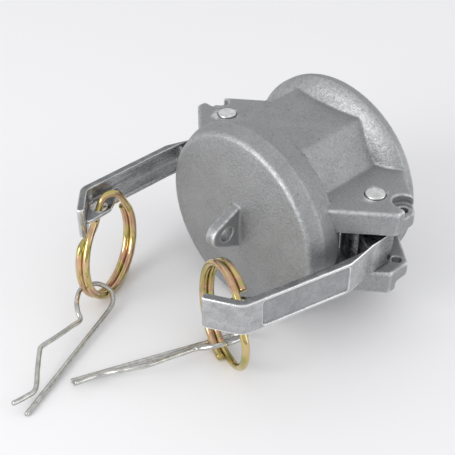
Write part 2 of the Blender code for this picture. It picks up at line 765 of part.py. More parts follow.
def right_ring_route():
    """The right ring round its centre, as (level, rise, along the axis), threaded once by a small dip."""
    points = []
    count = round((RIGHT_RING_FIRST_END - RIGHT_RING_LAST_END) / RING_STEP)
    cross = RIGHT_RING_CROSS_START - RIGHT_RING_CROSS_END
    for step in range(count + 1):
        angle = RIGHT_RING_FIRST_END + (RIGHT_RING_LAST_END - RIGHT_RING_FIRST_END) * step / count
        side_step = ease((RIGHT_RING_CROSS_START - angle) / cross)
        offset = TURN_OFFSET * (1 - 2 * side_step)
        dip = RIGHT_RING_DIP * ease(1 - abs(angle - RIGHT_RING_DIP_ANGLE) / RIGHT_RING_DIP_HALF)
        radius = RIGHT_RING_RADIUS - dip
        points.append(Vector((radius * math.sin(angle), radius * math.cos(angle), offset)))
    return points


def left_ring_arc(first, last, offset):
    count = round((first - last) / RING_STEP)
    points = []
    for step in range(count + 1):
        angle = first + (last - first) * step / count
        place = (LEFT_RING_RADIUS * math.sin(angle), LEFT_RING_RADIUS * math.cos(angle), offset)
        points.append(Vector(place))
    return points


def left_ring_route():
    points = left_ring_arc(LEFT_RING_FIRST_END, LEFT_RING_LEAVE, -TURN_OFFSET)
    for step in LEFT_RING_THREAD:
        points.append(Vector(LEFT_RING_HOLE) + Vector(step))
    points.extend(left_ring_arc(LEFT_RING_REJOIN, LEFT_RING_LAST_END, TURN_OFFSET))
    return points


def place_route(route, centre, axes):
    level, axis, rise = axes
    return [centre + level * p.x + rise * p.y + axis * p.z for p in route]


def wire(name, points, radius, origin, parts, material):
    """A round wire through world points, with its own origin."""
    curve = bpy.data.curves.new(name, "CURVE")
    curve.dimensions = "3D"
    curve.bevel_depth = radius
    curve.bevel_resolution = 2
    curve.use_fill_caps = True
    spline = curve.splines.new("POLY")
    spline.points.add(len(points) - 1)
    for place, point in zip(spline.points, points):
        place.co = (*(point - origin), 1.0)
    spline.use_smooth = True
    item = add_object(name, curve, parts, material)
    item.location = origin
    return item


def clip_pattern():
    """The flat hairpin: straight leg along x, an open eye at its start and the waved leg on the -y side."""
    length = CLIP_LENGTH
    eye = CLIP_EYE_REACH
    depth = CLIP_EYE_DEPTH
    return [
        (length, -0.09 * depth),
        (length * 0.66, -0.06 * depth),
        (length * 0.33, -0.03 * depth),
        (0.0, 0.0),
        (-0.43 * eye, 0.0),
        (-0.74 * eye, -0.06 * depth),
        (-0.96 * eye, -0.24 * depth),
        (-eye, -0.42 * depth),
        (-0.94 * eye, -0.62 * depth),
        (-0.80 * eye, -0.80 * depth),
        (-0.43 * eye, -0.98 * depth),
        (-0.18 * eye, -depth),
        (0.16 * eye, -0.88 * depth),
        (0.42 * eye, -0.68 * depth),
        (0.60 * eye, -0.48 * depth),
        (length * 0.24, -0.57 * depth),
        (length * 0.38, -0.71 * depth),
        (length * 0.52, -0.865 * depth),
        (length * 0.57, -0.815 * depth),
        (length * 0.69, -0.56 * depth),
        (length * 0.81, -0.305 * depth),
        (length * 0.90, -0.38 * depth),
        (length, -0.54 * depth),
    ]


def clip_axes(heading, climb, roll):
    """The straight leg's direction and the direction away from the waved leg."""
    level = Vector((math.cos(heading), math.sin(heading), 0.0))
    across = Vector((-math.sin(heading), math.cos(heading), 0.0))
    up = Vector((0.0, 0.0, 1.0))
    leg = level * math.cos(climb) + up * math.sin(climb)
    rise = up * math.cos(climb) - level * math.sin(climb)
    return leg, across * math.cos(roll) - rise * math.sin(roll)


def build_clip(label, start, axes, parts, steel):
    leg, away = axes
    points = [start + leg * x + away * y for x, y in clip_pattern()]
    link = start + leg * (-CLIP_EYE_REACH / 2) + away * (-CLIP_EYE_DEPTH / 2)
    wire(f"clip_{label}", smooth_route(points, WIRE_SPACING), CLIP_WIRE_RADIUS, link, parts, steel)


def main():
    clear_scene()
    parts = new_collection("camlock_dust_cap")
    cutters = new_collection("cutters")
    cast = new_material("cast_aluminium", (0.30, 0.31, 0.32), 0.50, 0.9)
    plated = new_material("plated_steel_arm", (0.55, 0.56, 0.56), 0.35, 1.0)
    bright = new_material("bright_steel_pin", (0.68, 0.68, 0.68), 0.25, 1.0)
    gold = new_material("gold_zinc_wire", (0.62, 0.48, 0.26), 0.30, 1.0)
    steel = new_material("steel_clip_wire", (0.58, 0.58, 0.57), 0.30, 1.0)
    rubber = new_material("black_rubber", (0.02, 0.02, 0.02), 0.70, 0.0)

    build_cap(parts, cutters, cast)
    build_gasket(parts, rubber)
    for side, label, angle in ((1, "right", 0.0), (-1, "left", LEFT_ARM_OPEN)):
        build_pin(label, side, parts, bright)
        build_arm(label, side, angle, parts, cutters, plated)

    hole = web_hole_in_world(1, 0.0)
    axes = ring_axes(RIGHT_RING_HEADING, RIGHT_RING_LEAN)
    reach = RIGHT_RING_RADIUS - RIGHT_RING_BIAS
    angle = RIGHT_RING_HOLE_ANGLE
    in_plane = Vector((reach * math.sin(angle), reach * math.cos(angle), -TURN_OFFSET))
    centre = place_route([-in_plane], hole, axes)[0]
    route = place_route(smooth_route(right_ring_route(), WIRE_SPACING), centre, axes)
    wire("ring_right", route, RING_WIRE_RADIUS, hole, parts, gold)
    axes = clip_axes(RIGHT_CLIP_HEADING, RIGHT_CLIP_CLIMB, RIGHT_CLIP_ROLL)
    build_clip("right", centre + Vector(RIGHT_CLIP_FROM_RING), axes, parts, steel)

    hole = web_hole_in_world(-1, LEFT_ARM_OPEN)
    axes = ring_axes(LEFT_RING_HEADING, LEFT_RING_LEAN)
    centre = place_route([-Vector(LEFT_RING_HOLE)], hole, axes)[0]
    route = place_route(smooth_route(left_ring_route(), WIRE_SPACING), centre, axes)
    wire("ring_left", route, RING_WIRE_RADIUS, hole, parts, gold)
    axes = clip_axes(LEFT_CLIP_HEADING, LEFT_CLIP_CLIMB, LEFT_CLIP_ROLL)
    build_clip("left", centre + Vector(LEFT_CLIP_FROM_RING), axes, parts, steel)


main()
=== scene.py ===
# %% [markdown]
# # A camlock dust cap
# This cap closes the end of a two inch hose coupling. It is a cast aluminium cup with a rubber
# gasket in its bottom. Two steel cam arms turn on pins, and each arm carries a wire ring for a
# finger and a spring clip that locks it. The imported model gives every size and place, and this
# lesson dresses it: fine surfaces, cast and plated metals, a studio floor and a camera.

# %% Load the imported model
import math

import bmesh
import bpy
import numpy as np
from mathutils import Matrix, Vector


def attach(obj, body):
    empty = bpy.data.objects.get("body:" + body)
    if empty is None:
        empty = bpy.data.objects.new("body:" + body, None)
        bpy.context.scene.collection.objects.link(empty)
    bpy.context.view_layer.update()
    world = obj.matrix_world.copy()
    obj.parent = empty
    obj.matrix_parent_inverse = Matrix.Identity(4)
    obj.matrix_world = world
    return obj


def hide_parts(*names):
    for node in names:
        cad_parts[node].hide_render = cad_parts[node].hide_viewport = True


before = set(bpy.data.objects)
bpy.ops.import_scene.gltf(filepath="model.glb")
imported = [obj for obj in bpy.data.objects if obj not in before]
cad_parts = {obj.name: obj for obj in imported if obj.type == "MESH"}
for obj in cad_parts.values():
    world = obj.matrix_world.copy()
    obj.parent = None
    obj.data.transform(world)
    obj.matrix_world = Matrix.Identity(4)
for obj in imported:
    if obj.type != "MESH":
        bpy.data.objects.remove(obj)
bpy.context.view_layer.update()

# %% [markdown]
# ## Camera
# The photograph is taken from the front right, well above the cap, with a long lens. The camera's
# place and its three directions were worked out from round shapes of known size in the picture.

# %% Camera
CAMERA_PLACE = Vector((0.217956, -0.216499, 0.229226))
CAMERA_RIGHT = Vector((0.68503, 0.72850, -0.00412))
CAMERA_UP = Vector((-0.44041, 0.41862, 0.79423))
CAMERA_BACK = Vector((0.58032, -0.54226, 0.60760))

bpy.ops.object.select_all(action="DESELECT")
bpy.ops.object.camera_add()
camera = bpy.context.active_object
camera.name = "photograph_camera"
camera.data.sensor_width = 36.0
camera.data.lens = 75.97
camera.data.clip_start = 0.01
turn = Matrix((CAMERA_RIGHT, CAMERA_UP, CAMERA_BACK)).transposed()
camera.matrix_world = Matrix.Translation(CAMERA_PLACE) @ turn.to_4x4()
bpy.context.scene.camera = camera
print("camera", round((CAMERA_PLACE.length) * 1000), "mm from the socket's floor")

# %% [markdown]
# ## Colours
# Colours are written as they look on a screen, as hex codes, and Blender's sockets want linear
# light. One function turns the one into the other, so that a grey picked on a screen renders as it.

# %% Screen colour to linear light
def linear(code, alpha=1.0):
    """A screen colour such as "8C8D8F" as linear red, green, blue and alpha."""
    channels = []
    for start in (0, 2, 4):
        value = int(code[start:start + 2], 16) / 255
        channels.append(value / 12.92 if value <= 0.04045 else ((value + 0.055) / 1.055) ** 2.4)
    return (*channels, alpha)


print("screen grey 808080 is", round(linear("808080")[0], 3), "in linear light")

# %% [markdown]
# ## Nodes
# A material is a small tree of nodes: noises make patterns, Map Range stretches a part of a pattern
# over a new range, and Mix lays one colour over another. One function adds any node, with its
# settings and with inputs that are values or sockets, and gives back the output that is used.

# %% Add a node
def add_node(tree, kind, output, inputs, **settings):
    """Add a node, fill its inputs by name or in order, and give back one of its outputs."""
    node = tree.nodes.new("ShaderNode" + kind)
    for name, value in settings.items():
        setattr(node, name, value)
    for key, value in inputs.items() if isinstance(inputs, dict) else enumerate(inputs):
        if isinstance(value, bpy.types.NodeSocket):
            tree.links.new(value, node.inputs[key])
        else:
            node.inputs[key].default_value = value
    return node.outputs[output]


# %% Start, paint and finish a material
def start_material(name, **values):
    """A node material: its tree, its shader and the object coordinates that its patterns follow."""
    material = bpy.data.materials.new(name)
    material.use_nodes = True
    tree = material.node_tree
    shader = tree.nodes["Principled BSDF"]
    for socket, value in values.items():
        shader.inputs[socket.replace("_", " ")].default_value = value
    return material, tree, shader, add_node(tree, "TexCoord", "Object", ())


def paint_layers(tree, colour, layers):
    """Lay colours over each other, each where its pattern lies between low and high."""
    for pattern, low, high, amount, over in layers:
        mask = add_node(tree, "MapRange", 0, (pattern, low, high, 0.0, amount))
        colour = add_node(tree, "Mix", 2, {0: mask, 6: colour, 7: over}, data_type="RGBA")
    return colour


def finish_material(tree, shader, colour, roughness, normal):
    for socket, value in (("Base Color", colour), ("Roughness", roughness), ("Normal", normal)):
        tree.links.new(value, shader.inputs[socket])


def per_mm(size):
    """The scale that gives a noise or a wave pattern this size in millimetres."""
    return 1000.0 / size


print("a pattern of 2 mm has the scale", per_mm(2.0))

# %% [markdown]
# ## Cast aluminium
# The cap is sand or die cast and then blasted with fine grit. That gives a mid grey metal with no
# mirror image in it, a fine grain, a few dark pores and a few bright flecks. Handling polishes its
# outer edges, which show as paler lines. Hollows and inner corners get painted shade, and the whole
# shoulder of the flange gets a painted highlight. The grain of real grit is about 0.3 mm, and it is drawn
# at 0.8 mm here, because anything finer is lost between the render's pixels.

# %% Cast aluminium
def make_cast_aluminium():
    material, tree, shader, place = start_material("blasted_cast_aluminium", Metallic=0.92)
    patches = add_node(
        tree, "TexNoise", "Fac", {"Vector": place, "Scale": per_mm(11.0), "Detail": 3.0, "Roughness": 0.6}
    )
    grain = add_node(
        tree, "TexNoise", "Fac", {"Vector": place, "Scale": per_mm(0.8), "Detail": 3.0, "Roughness": 0.65}
    )
    pores = add_node(tree, "TexNoise", "Fac", {"Vector": place, "Scale": per_mm(1.9)})
    rub_and_highlight_noise = add_node(tree, "TexNoise", "Fac", {"Vector": place, "Scale": per_mm(1.6), "Roughness": 0.6})
    rub_and_highlight = add_node(tree, "MapRange", 0, (rub_and_highlight_noise, 0.25, 0.6, 0.35, 1.0))
    # The wear mark holds the edge wear and, on the casting, the painted highlight of the flange's shoulder.
    wear_and_highlight = add_node(tree, "Attribute", "Fac", (), attribute_name="wear_and_highlight")
    worn_and_highlight = add_node(tree, "Math", 0, (wear_and_highlight, rub_and_highlight), operation="MULTIPLY")
    crease_shade = add_node(tree, "Attribute", "Fac", (), attribute_name="crease_shade")
    layers = (
        (patches, 0.35, 0.65, 1.0, linear("9B9C9D")),
        (grain, 0.30, 0.70, 0.46, linear("C2C3C5")),
        (pores, 0.70, 0.76, 0.55, linear("5F6063")),
        # Painted shade: darker where the surface turns inwards, in hollows and inner corners.
        (crease_shade, 0.15, 0.90, 0.40, linear("6C6D6F")),
        # Paler on worn edges, and a painted highlight all round the flange's shoulder.
        (worn_and_highlight, 0.10, 0.70, 0.95, linear("DADBDC")),
    )
    colour = paint_layers(tree, linear("919293"), layers)
    blast = add_node(tree, "TexNoise", "Fac", {"Vector": place, "Scale": per_mm(2.6), "Detail": 3.0})
    rough = add_node(tree, "MapRange", 0, (blast, 0.3, 0.7, 0.45, 0.56))
    polish = add_node(tree, "MapRange", 0, (worn_and_highlight, 0.1, 0.9, 0.0, -0.16))
    roughness = add_node(tree, "Math", 0, (rough, polish), operation="ADD")
    swell = add_node(tree, "TexNoise", "Fac", {"Vector": place, "Scale": per_mm(6.0)})
    waves = add_node(tree, "Bump", 0, {"Height": swell, "Distance": 0.00016, "Strength": 1.0})
    normal = add_node(tree, "Bump", 0, {"Height": grain, "Distance": 0.00025, "Strength": 1.0, "Normal": waves})
    finish_material(tree, shader, colour, roughness, normal)
    return material


cast_aluminium = make_cast_aluminium()
print(cast_aluminium.name, "has", len(cast_aluminium.node_tree.nodes), "nodes")

# %% [markdown]
# ## Machined aluminium
# The socket, the groove for the gasket and the holes for the pins are cut on a lathe or drilled
# after casting. Fresh cut aluminium is paler and shinier than the cast skin, and the tool leaves
# fine rings round the axis, which a ring wave about Y draws at 0.5 mm.

# %% Machined aluminium
def make_machined_aluminium():
    material, tree, shader, place = start_material("machined_aluminium", Metallic=1.0)
    ring_inputs = {"Vector": place, "Scale": per_mm(0.5) / 20, "Distortion": 0.6, "Detail": 1.0}
    rings = add_node(tree, "TexWave", "Fac", ring_inputs, wave_type="RINGS", rings_direction="Y")
    cloud = add_node(tree, "TexNoise", "Fac", {"Vector": place, "Scale": per_mm(8.0), "Detail": 3.0})
    colour = paint_layers(tree, linear("989A9B"), ((cloud, 0.3, 0.7, 1.0, linear("ACADAE")),))
    roughness = add_node(tree, "MapRange", 0, (rings, 0.0, 1.0, 0.30, 0.42))
    normal = add_node(tree, "Bump", 0, {"Height": rings, "Distance": 0.00002, "Strength": 1.0})
    finish_material(tree, shader, colour, roughness, normal)
    return material


machined_aluminium = make_machined_aluminium()
print(machined_aluminium.name, "has", len(machined_aluminium.node_tree.nodes), "nodes")

# %% [markdown]
# ## Plated cam arm
# The arms are cast steel, tumbled with stones and plated. Tumbling leaves a pale, slightly wavy
# skin with cloudy darker patches, and it brightens the edges. A noise of 5 mm draws the clouds and
# one of 1 mm the mottle, over low waves. Values stored on the mesh tell the material where the
# round edges are, and where light and shade are painted: painted shade in the hollows, the sunk
# panel, the narrow faces that look up or down and the cam head between the ears, and a painted
# reflection in the channel, whose long pale streaks come from a noise that is stretched along the lever.

# %% Plated steel of the arms
def make_tumbled_steel():
    material, tree, shader, place = start_material("tumbled_plated_steel", Metallic=1.0)
    cloud_inputs = {"Vector": place, "Scale": per_mm(5.0), "Detail": 4.0, "Roughness": 0.62, "Distortion": 0.5}
    clouds = add_node(tree, "TexNoise", "Fac", cloud_inputs)
    mottle = add_node(
        tree, "TexNoise", "Fac", {"Vector": place, "Scale": per_mm(1.0), "Detail": 4.0, "Roughness": 0.7}
    )
    # Painted reflection for the channel: pale, with long near-white streaks along the lever.
    lengthwise = add_node(tree, "Mapping", "Vector", {"Vector": place, "Scale": (1.0, 0.07, 1.0)})
    reflection_streaks = add_node(tree, "TexNoise", "Fac", {"Vector": lengthwise, "Scale": per_mm(1.5)})
    painted_reflection_colour = paint_layers(tree, linear("C2C3C4"), ((reflection_streaks, 0.36, 0.64, 1.0, linear("FAFAFA")),))
    marks = {}
    for name in ("crease_shade", "channel", "panel", "wear_and_highlight", "edge_face", "cam_shade"):
        marks[name] = add_node(tree, "Attribute", "Fac", (), attribute_name=name)
    # Painted shade for the narrow faces that look up or down, broken up by the clouds.
    shade_breakup = add_node(tree, "MapRange", 0, (clouds, 0.3, 0.6, 0.4, 0.8))
    darkening = add_node(tree, "Math", 0, (marks["edge_face"], shade_breakup), operation="MULTIPLY")
    # Painted shade on the cam head, broken up by the mottle.
    cam_shade_mottle = add_node(tree, "MapRange", 0, (mottle, 0.3, 0.6, 0.6, 1.0))
    cam_shade = add_node(tree, "Math", 0, (marks["cam_shade"], cam_shade_mottle), operation="MULTIPLY")
    layers = (
        (clouds, 0.34, 0.66, 1.0, linear("C6C7C8")),
        (mottle, 0.50, 0.72, 0.55, linear("85878A")),
        # Painted shade: darker where the surface turns inwards, in hollows and inner corners.
        (marks["crease_shade"], 0.05, 0.70, 0.60, linear("5E6165")),
        # Painted reflection: the channel is made paler and streaked.
        (marks["channel"], 0.0, 1.0, 1.0, painted_reflection_colour),
        # Painted shade: the sunk panel is made darker.
        (marks["panel"], 0.0, 1.0, 0.45, linear("808284")),
        (marks["wear_and_highlight"], 0.10, 0.55, 1.0, linear("F4F4F4")),
        # Painted shade: the narrow faces that look up or down are made darker.
        (darkening, 0.0, 1.0, 1.0, linear("5C5E60")),
        # Painted shade: the cam head between the ears is made dark.
        (cam_shade, 0.0, 1.0, 1.0, linear("2E2F31")),
    )
    colour = paint_layers(tree, linear("ACADAE"), layers)
    haze = add_node(tree, "TexNoise", "Fac", {"Vector": place, "Scale": per_mm(2.2), "Detail": 3.0, "Roughness": 0.6})
    rough = add_node(tree, "MapRange", 0, (haze, 0.3, 0.7, 0.20, 0.40))
    polish = add_node(tree, "MapRange", 0, (marks["wear_and_highlight"], 0.10, 0.55, 0.0, -0.12))
    roughness = add_node(tree, "Math", 0, (rough, polish), operation="ADD")
    swell = add_node(tree, "TexNoise", "Fac", {"Vector": place, "Scale": per_mm(3.4)})
    waves = add_node(tree, "Bump", 0, {"Height": swell, "Distance": 0.00010, "Strength": 1.0})
    normal = add_node(tree, "Bump", 0, {"Height": mottle, "Distance": 0.00005, "Strength": 1.0, "Normal": waves})
    finish_material(tree, shader, colour, roughness, normal)
    return material


tumbled_steel = make_tumbled_steel()
print(tumbled_steel.name, "has", len(tumbled_steel.node_tree.nodes), "nodes")

# %% [markdown]
# ## Bright steel of the pins
# A pin is a drawn steel rod, cut to length and faced, so its ends are nearly white and cloudy.

# %% Pin steel
def make_pin_steel():
    material, tree, shader, place = start_material("faced_bright_steel", Metallic=1.0)
    noise_inputs = {"Vector": place, "Scale": per_mm(1.6), "Detail": 4.0, "Roughness": 0.65}
    cloud = add_node(tree, "MapRange", 0, (add_node(tree, "TexNoise", "Fac", noise_inputs), 0.35, 0.65))
    colour = paint_layers(tree, linear("D2D3D3"), ((cloud, 0.0, 1.0, 1.0, linear("EDEDEC")),))
    roughness = add_node(tree, "MapRange", 0, (cloud, 0.0, 1.0, 0.42, 0.26))
    marks = add_node(tree, "TexNoise", "Fac", {"Vector": place, "Scale": per_mm(0.9), "Detail": 3.0})
    normal = add_node(tree, "Bump", 0, {"Height": marks, "Distance": 0.00004, "Strength": 1.0})
    finish_material(tree, shader, colour, roughness, normal)
    return material


pin_steel = make_pin_steel()
print(pin_steel.name, "has", len(pin_steel.node_tree.nodes), "nodes")

# %% [markdown]
# ## Gold zinc of the rings
# The rings are steel wire with a zinc coat that was dipped in a chromate bath. The film that this
# leaves is thin enough to colour the light: straw gold, with olive and copper where its thickness
# drifts. So the colour comes from a slow noise of 13 mm along the wire, on a smooth shiny metal.

# %% Gold zinc
FILM_COLOURS = (
    (0.0, "A3A064"), (0.25, "BFB16E"), (0.5, "D3BF86"), (0.68, "D8B992"), (0.85, "CFA58C"), (1.0, "BAB074")
)


def make_gold_zinc():
    material, tree, shader, place = start_material("yellow_chromated_zinc", Metallic=1.0)
    film = add_node(tree, "TexNoise", "Fac", {"Vector": place, "Scale": per_mm(13.0), "Distortion": 0.6})
    thickness = add_node(tree, "MapRange", 0, (film, 0.32, 0.68))
    film_colour = add_node(tree, "ValToRGB", "Color", (thickness,))
    ramp = film_colour.node.color_ramp
    ramp.elements.remove(ramp.elements[1])
    ramp.elements[0].color = linear(FILM_COLOURS[0][1])
    for position, code in FILM_COLOURS[1:]:
        ramp.elements.new(position).color = linear(code)
    darkening = add_node(tree, "TexNoise", "Fac", {"Vector": place, "Scale": per_mm(3.0)})
    colour = paint_layers(tree, film_colour, ((darkening, 0.50, 0.75, 0.20, linear("878354")),))
    haze = add_node(tree, "TexNoise", "Fac", {"Vector": place, "Scale": per_mm(2.4)})
    roughness = add_node(tree, "MapRange", 0, (haze, 0.3, 0.7, 0.12, 0.22))
    normal = add_node(tree, "Bump", 0, {"Height": haze, "Distance": 0.00003, "Strength": 1.0})
    finish_material(tree, shader, colour, roughness, normal)
    return material


gold_zinc = make_gold_zinc()
print(gold_zinc.name, "has", len(gold_zinc.node_tree.nodes), "nodes")

# %% [markdown]
# ## Spring steel of the clips
# The clips are drawn spring wire with a thin clear coat: grey and bright, with faint lines where
# the forming tools pressed it.

# %% Clip wire
def make_clip_steel():
    material, tree, shader, place = start_material("drawn_spring_steel", Metallic=1.0)
    cloud = add_node(tree, "TexNoise", "Fac", {"Vector": place, "Scale": per_mm(3.0), "Detail": 3.0, "Roughness": 0.6})
    colour = paint_layers(tree, linear("B4B4B1"), ((cloud, 0.35, 0.65, 1.0, linear("D2D2CE")),))
    marks = add_node(tree, "TexNoise", "Fac", {"Vector": place, "Scale": per_mm(2.0)})
    roughness = add_node(tree, "MapRange", 0, (marks, 0.3, 0.7, 0.14, 0.26))
    normal = add_node(tree, "Bump", 0, {"Height": marks, "Distance": 0.00002, "Strength": 1.0})
    finish_material(tree, shader, colour, roughness, normal)
    return material


clip_steel = make_clip_steel()
print(clip_steel.name, "has", len(clip_steel.node_tree.nodes), "nodes")

# %% [markdown]
# ## Rubber of the gasket
# Nitrile rubber is nearly black and takes only a soft sheen, with a bloom of fine dust.

# %% Gasket rubber
def make_nitrile_rubber():
    material, tree, shader, place = start_material("moulded_nitrile_rubber", Metallic=0.0)
    noise_inputs = {"Vector": place, "Scale": per_mm(3.0), "Detail": 4.0, "Roughness": 0.6}
    bloom = add_node(tree, "MapRange", 0, (add_node(tree, "TexNoise", "Fac", noise_inputs), 0.4, 0.75))
    colour = paint_layers(tree, linear("17181A"), ((bloom, 0.0, 1.0, 1.0, linear("2A2B2D")),))
    roughness = add_node(tree, "MapRange", 0, (bloom, 0.0, 1.0, 0.48, 0.68))
    skin = add_node(tree, "TexNoise", "Fac", {"Vector": place, "Scale": per_mm(0.7), "Detail": 3.0})
    normal = add_node(tree, "Bump", 0, {"Height": skin, "Distance": 0.00004, "Strength": 1.0})
    finish_material(tree, shader, colour, roughness, normal)
    return material


nitrile_rubber = make_nitrile_rubber()
print(nitrile_rubber.name, "has", len(nitrile_rubber.node_tree.nodes), "nodes")

# %% [markdown]
# ## Turned shapes
# Every operator works on what is selected, so each step first clears the selection. A turned shape
# could be a spun line, but a filled circle whose face is pulled out and scaled, ring by ring, is
# closed from the start and follows the drawing's radii one by one.

# %% Pick, close and turn
def pick(item):
    bpy.ops.object.select_all(action="DESELECT")
    item.select_set(True)
    bpy.context.view_layer.objects.active = item


def close_and_face_out():
    """In edit mode, close open ends and point every face outwards."""
    bpy.ops.mesh.select_all(action="SELECT")
    bpy.ops.mesh.remove_doubles(threshold=0.000001)
    bpy.ops.mesh.fill_holes(sides=0)
    bpy.ops.mesh.normals_make_consistent(inside=False)


def lathe(name, profile, sides):
    """Turn (radius, y) points round the Y axis; the profile starts and ends as a filled face."""
    bpy.ops.object.select_all(action="DESELECT")
    radius, height = profile[0]
    bpy.ops.mesh.primitive_circle_add(
        vertices=sides, radius=radius, fill_type="NGON", rotation=(math.pi / 2, 0, 0), location=(0, height, 0)
    )
    item = bpy.context.active_object
    item.name = name
    bpy.ops.object.transform_apply(location=True, rotation=True, scale=True)
    bpy.ops.object.mode_set(mode="EDIT")
    bpy.ops.mesh.select_all(action="SELECT")
    for next_radius, next_height in profile[1:]:
        step = (0, next_height - height, 0)
        bpy.ops.mesh.extrude_region_move(TRANSFORM_OT_translate={"value": step})
        scale = next_radius / radius
        bpy.ops.transform.resize(value=(scale, 1, scale), center_override=(0, next_height, 0))
        radius, height = next_radius, next_height
    close_and_face_out()
    bpy.ops.object.mode_set(mode="OBJECT")
    return item


# %% [markdown]
# ## Flat shapes and cuts
# A flat shape starts as a filled circle with as many corners as its outline, which are moved onto
# it before the face is pulled up. Shapes are joined or cut with booleans, as a pattern maker glues
# and files, and each modifier is applied at once so that the next step works on real faces.

# %% Plates and modifiers
def plate(name, outline, low, high):
    """A flat outline of (x, y) points, filled and pulled up from z = low to z = high."""
    bpy.ops.object.select_all(action="DESELECT")
    bpy.ops.mesh.primitive_circle_add(vertices=len(outline), radius=0.01, fill_type="NGON")
    item = bpy.context.active_object
    item.name = name
    bpy.ops.object.mode_set(mode="EDIT")
    work = bmesh.from_edit_mesh(item.data)
    work.verts.ensure_lookup_table()
    for vert, point in zip(work.verts, outline):
        vert.co = (point[0], point[1], low)
    bmesh.update_edit_mesh(item.data)
    bpy.ops.mesh.select_all(action="SELECT")
    bpy.ops.mesh.extrude_region_move(TRANSFORM_OT_translate={"value": (0, 0, high - low)})
    close_and_face_out()
    bpy.ops.object.mode_set(mode="OBJECT")
    return item


def apply_modifier(item, kind, **settings):
    pick(item)
    modifier = item.modifiers.new(kind.title(), kind)
    for name, value in settings.items():
        setattr(modifier, name, value)
    bpy.ops.object.modifier_apply(modifier=modifier.name)


def soften_rims(item, width, segments=3, degrees=50.0):
    apply_modifier(
        item, "BEVEL", width=width, segments=segments, limit_method="ANGLE", angle_limit=math.radians(degrees)
    )


def combine(item, other, operation, material_mode="INDEX"):
    """Add another shape to this one or cut it out, and throw the other one away."""
    apply_modifier(item, "BOOLEAN", operation=operation, object=other, material_mode=material_mode)
    bpy.data.objects.remove(other, do_unlink=True)


# %% Lay a mesh in place
def face_out(item):
    pick(item)
    bpy.ops.object.mode_set(mode="EDIT")
    bpy.ops.mesh.select_all(action="SELECT")
    bpy.ops.mesh.normals_make_consistent(inside=False)
    bpy.ops.object.mode_set(mode="OBJECT")


def lay(item, place=(0, 0, 0), rotation=(0, 0, 0), scale=(1, 1, 1)):
    """Move, turn or mirror a finished mesh and bake that into it, so the object stays at the origin."""
    pick(item)
    item.location = place
    item.rotation_euler = rotation
    item.scale = scale
    bpy.ops.object.transform_apply(location=True, rotation=True, scale=True)
    if scale[0] * scale[1] * scale[2] < 0:
        face_out(item)


# %% [markdown]
# ## Cast skin, worn edges and painted shade
# A mould rounds the inner corners as well as the outer ones. A bevel would need every edge picked
# by hand, so the shape is melted into small voxels and smoothed instead. The finished mesh then
# tells how sharply it turns at each point, and the materials read that as wear and as painted shade in the hollows.

# %% Cast skin and edge marks
def cast_skin(item, voxel, rounds, keep=1.0):
    """Melt the edges together as in a casting: voxel remesh, smooth, and thin out the flat parts."""
    apply_modifier(item, "REMESH", mode="VOXEL", voxel_size=voxel)
    apply_modifier(item, "SMOOTH", factor=0.5, iterations=rounds)
    if keep < 1.0:
        apply_modifier(item, "DECIMATE", ratio=keep)


def smooth_shading(item, degrees=40.0):
    pick(item)
    bpy.ops.object.shade_smooth_by_angle(angle=math.radians(degrees))


def store_mark(item, name, values):
    """Keep one number at each point of a mesh, under a name that a material can read."""
    attributes = item.data.attributes
    mark = attributes.get(name) or attributes.new(name, "FLOAT", "POINT")
    mark.data.foreach_set("value", np.asarray(values, dtype=np.float32))


def read_wear(item):
    wear_and_highlight = np.empty(len(item.data.vertices), dtype=np.float32)
    item.data.attributes["wear_and_highlight"].data.foreach_get("value", wear_and_highlight)
    return wear_and_highlight


def mark_edges(item, full_radius=0.0012, rounds=2):
    """Store how sharply the surface turns at each point: outwards as wear, inwards as a mask for painted shade."""
    mesh = item.data
    count = len(mesh.vertices)
    places = np.empty(count * 3)
    mesh.vertices.foreach_get("co", places)
    normals = np.empty(count * 3)
    mesh.vertices.foreach_get("normal", normals)
    ends = np.empty(len(mesh.edges) * 2, dtype=np.int64)
    mesh.edges.foreach_get("vertices", ends)
    places, normals, ends = places.reshape(-1, 3), normals.reshape(-1, 3), ends.reshape(-1, 2)
    first, second = ends[:, 0], ends[:, 1]
    run = places[second] - places[first]
    length = np.maximum((run * run).sum(axis=1), 1e-12)
    bend = ((normals[second] - normals[first]) * run).sum(axis=1) / length
    number = np.maximum(np.bincount(first, minlength=count) + np.bincount(second, minlength=count), 1)
    total = np.bincount(first, bend, count) + np.bincount(second, bend, count)
    value = total / number
    for _ in range(rounds):
        total = np.bincount(first, value[second], count) + np.bincount(second, value[first], count)
        value = 0.5 * value + 0.5 * total / number
    # Outward bends give the wear mark, inward bends the mask for painted shade.
    for name, sign in (("wear_and_highlight", 1.0), ("crease_shade", -1.0)):
        store_mark(item, name, np.clip(sign * value * full_radius, 0.0, 1.0))


# %% Finish a piece
def finish_piece(item, material, node, body):
    """Give a piece its material, let it stand for its CAD node and ride on that node's body."""
    if material:
        item.data.materials.clear()
        item.data.materials.append(material)
    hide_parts(node)
    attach(item, body)
    item.data.calc_loop_triangles()
    print(item.name, "stands for", node, "with", len(item.data.loop_triangles), "triangles")


# %% [markdown]
# ## Outlines
# The outlines come from a few corners, each with its own radius. A round corner touches both of
# its sides, so its centre lies on the line that halves the angle between them.

# %% Outlines with round corners
ARC_STEPS = 10


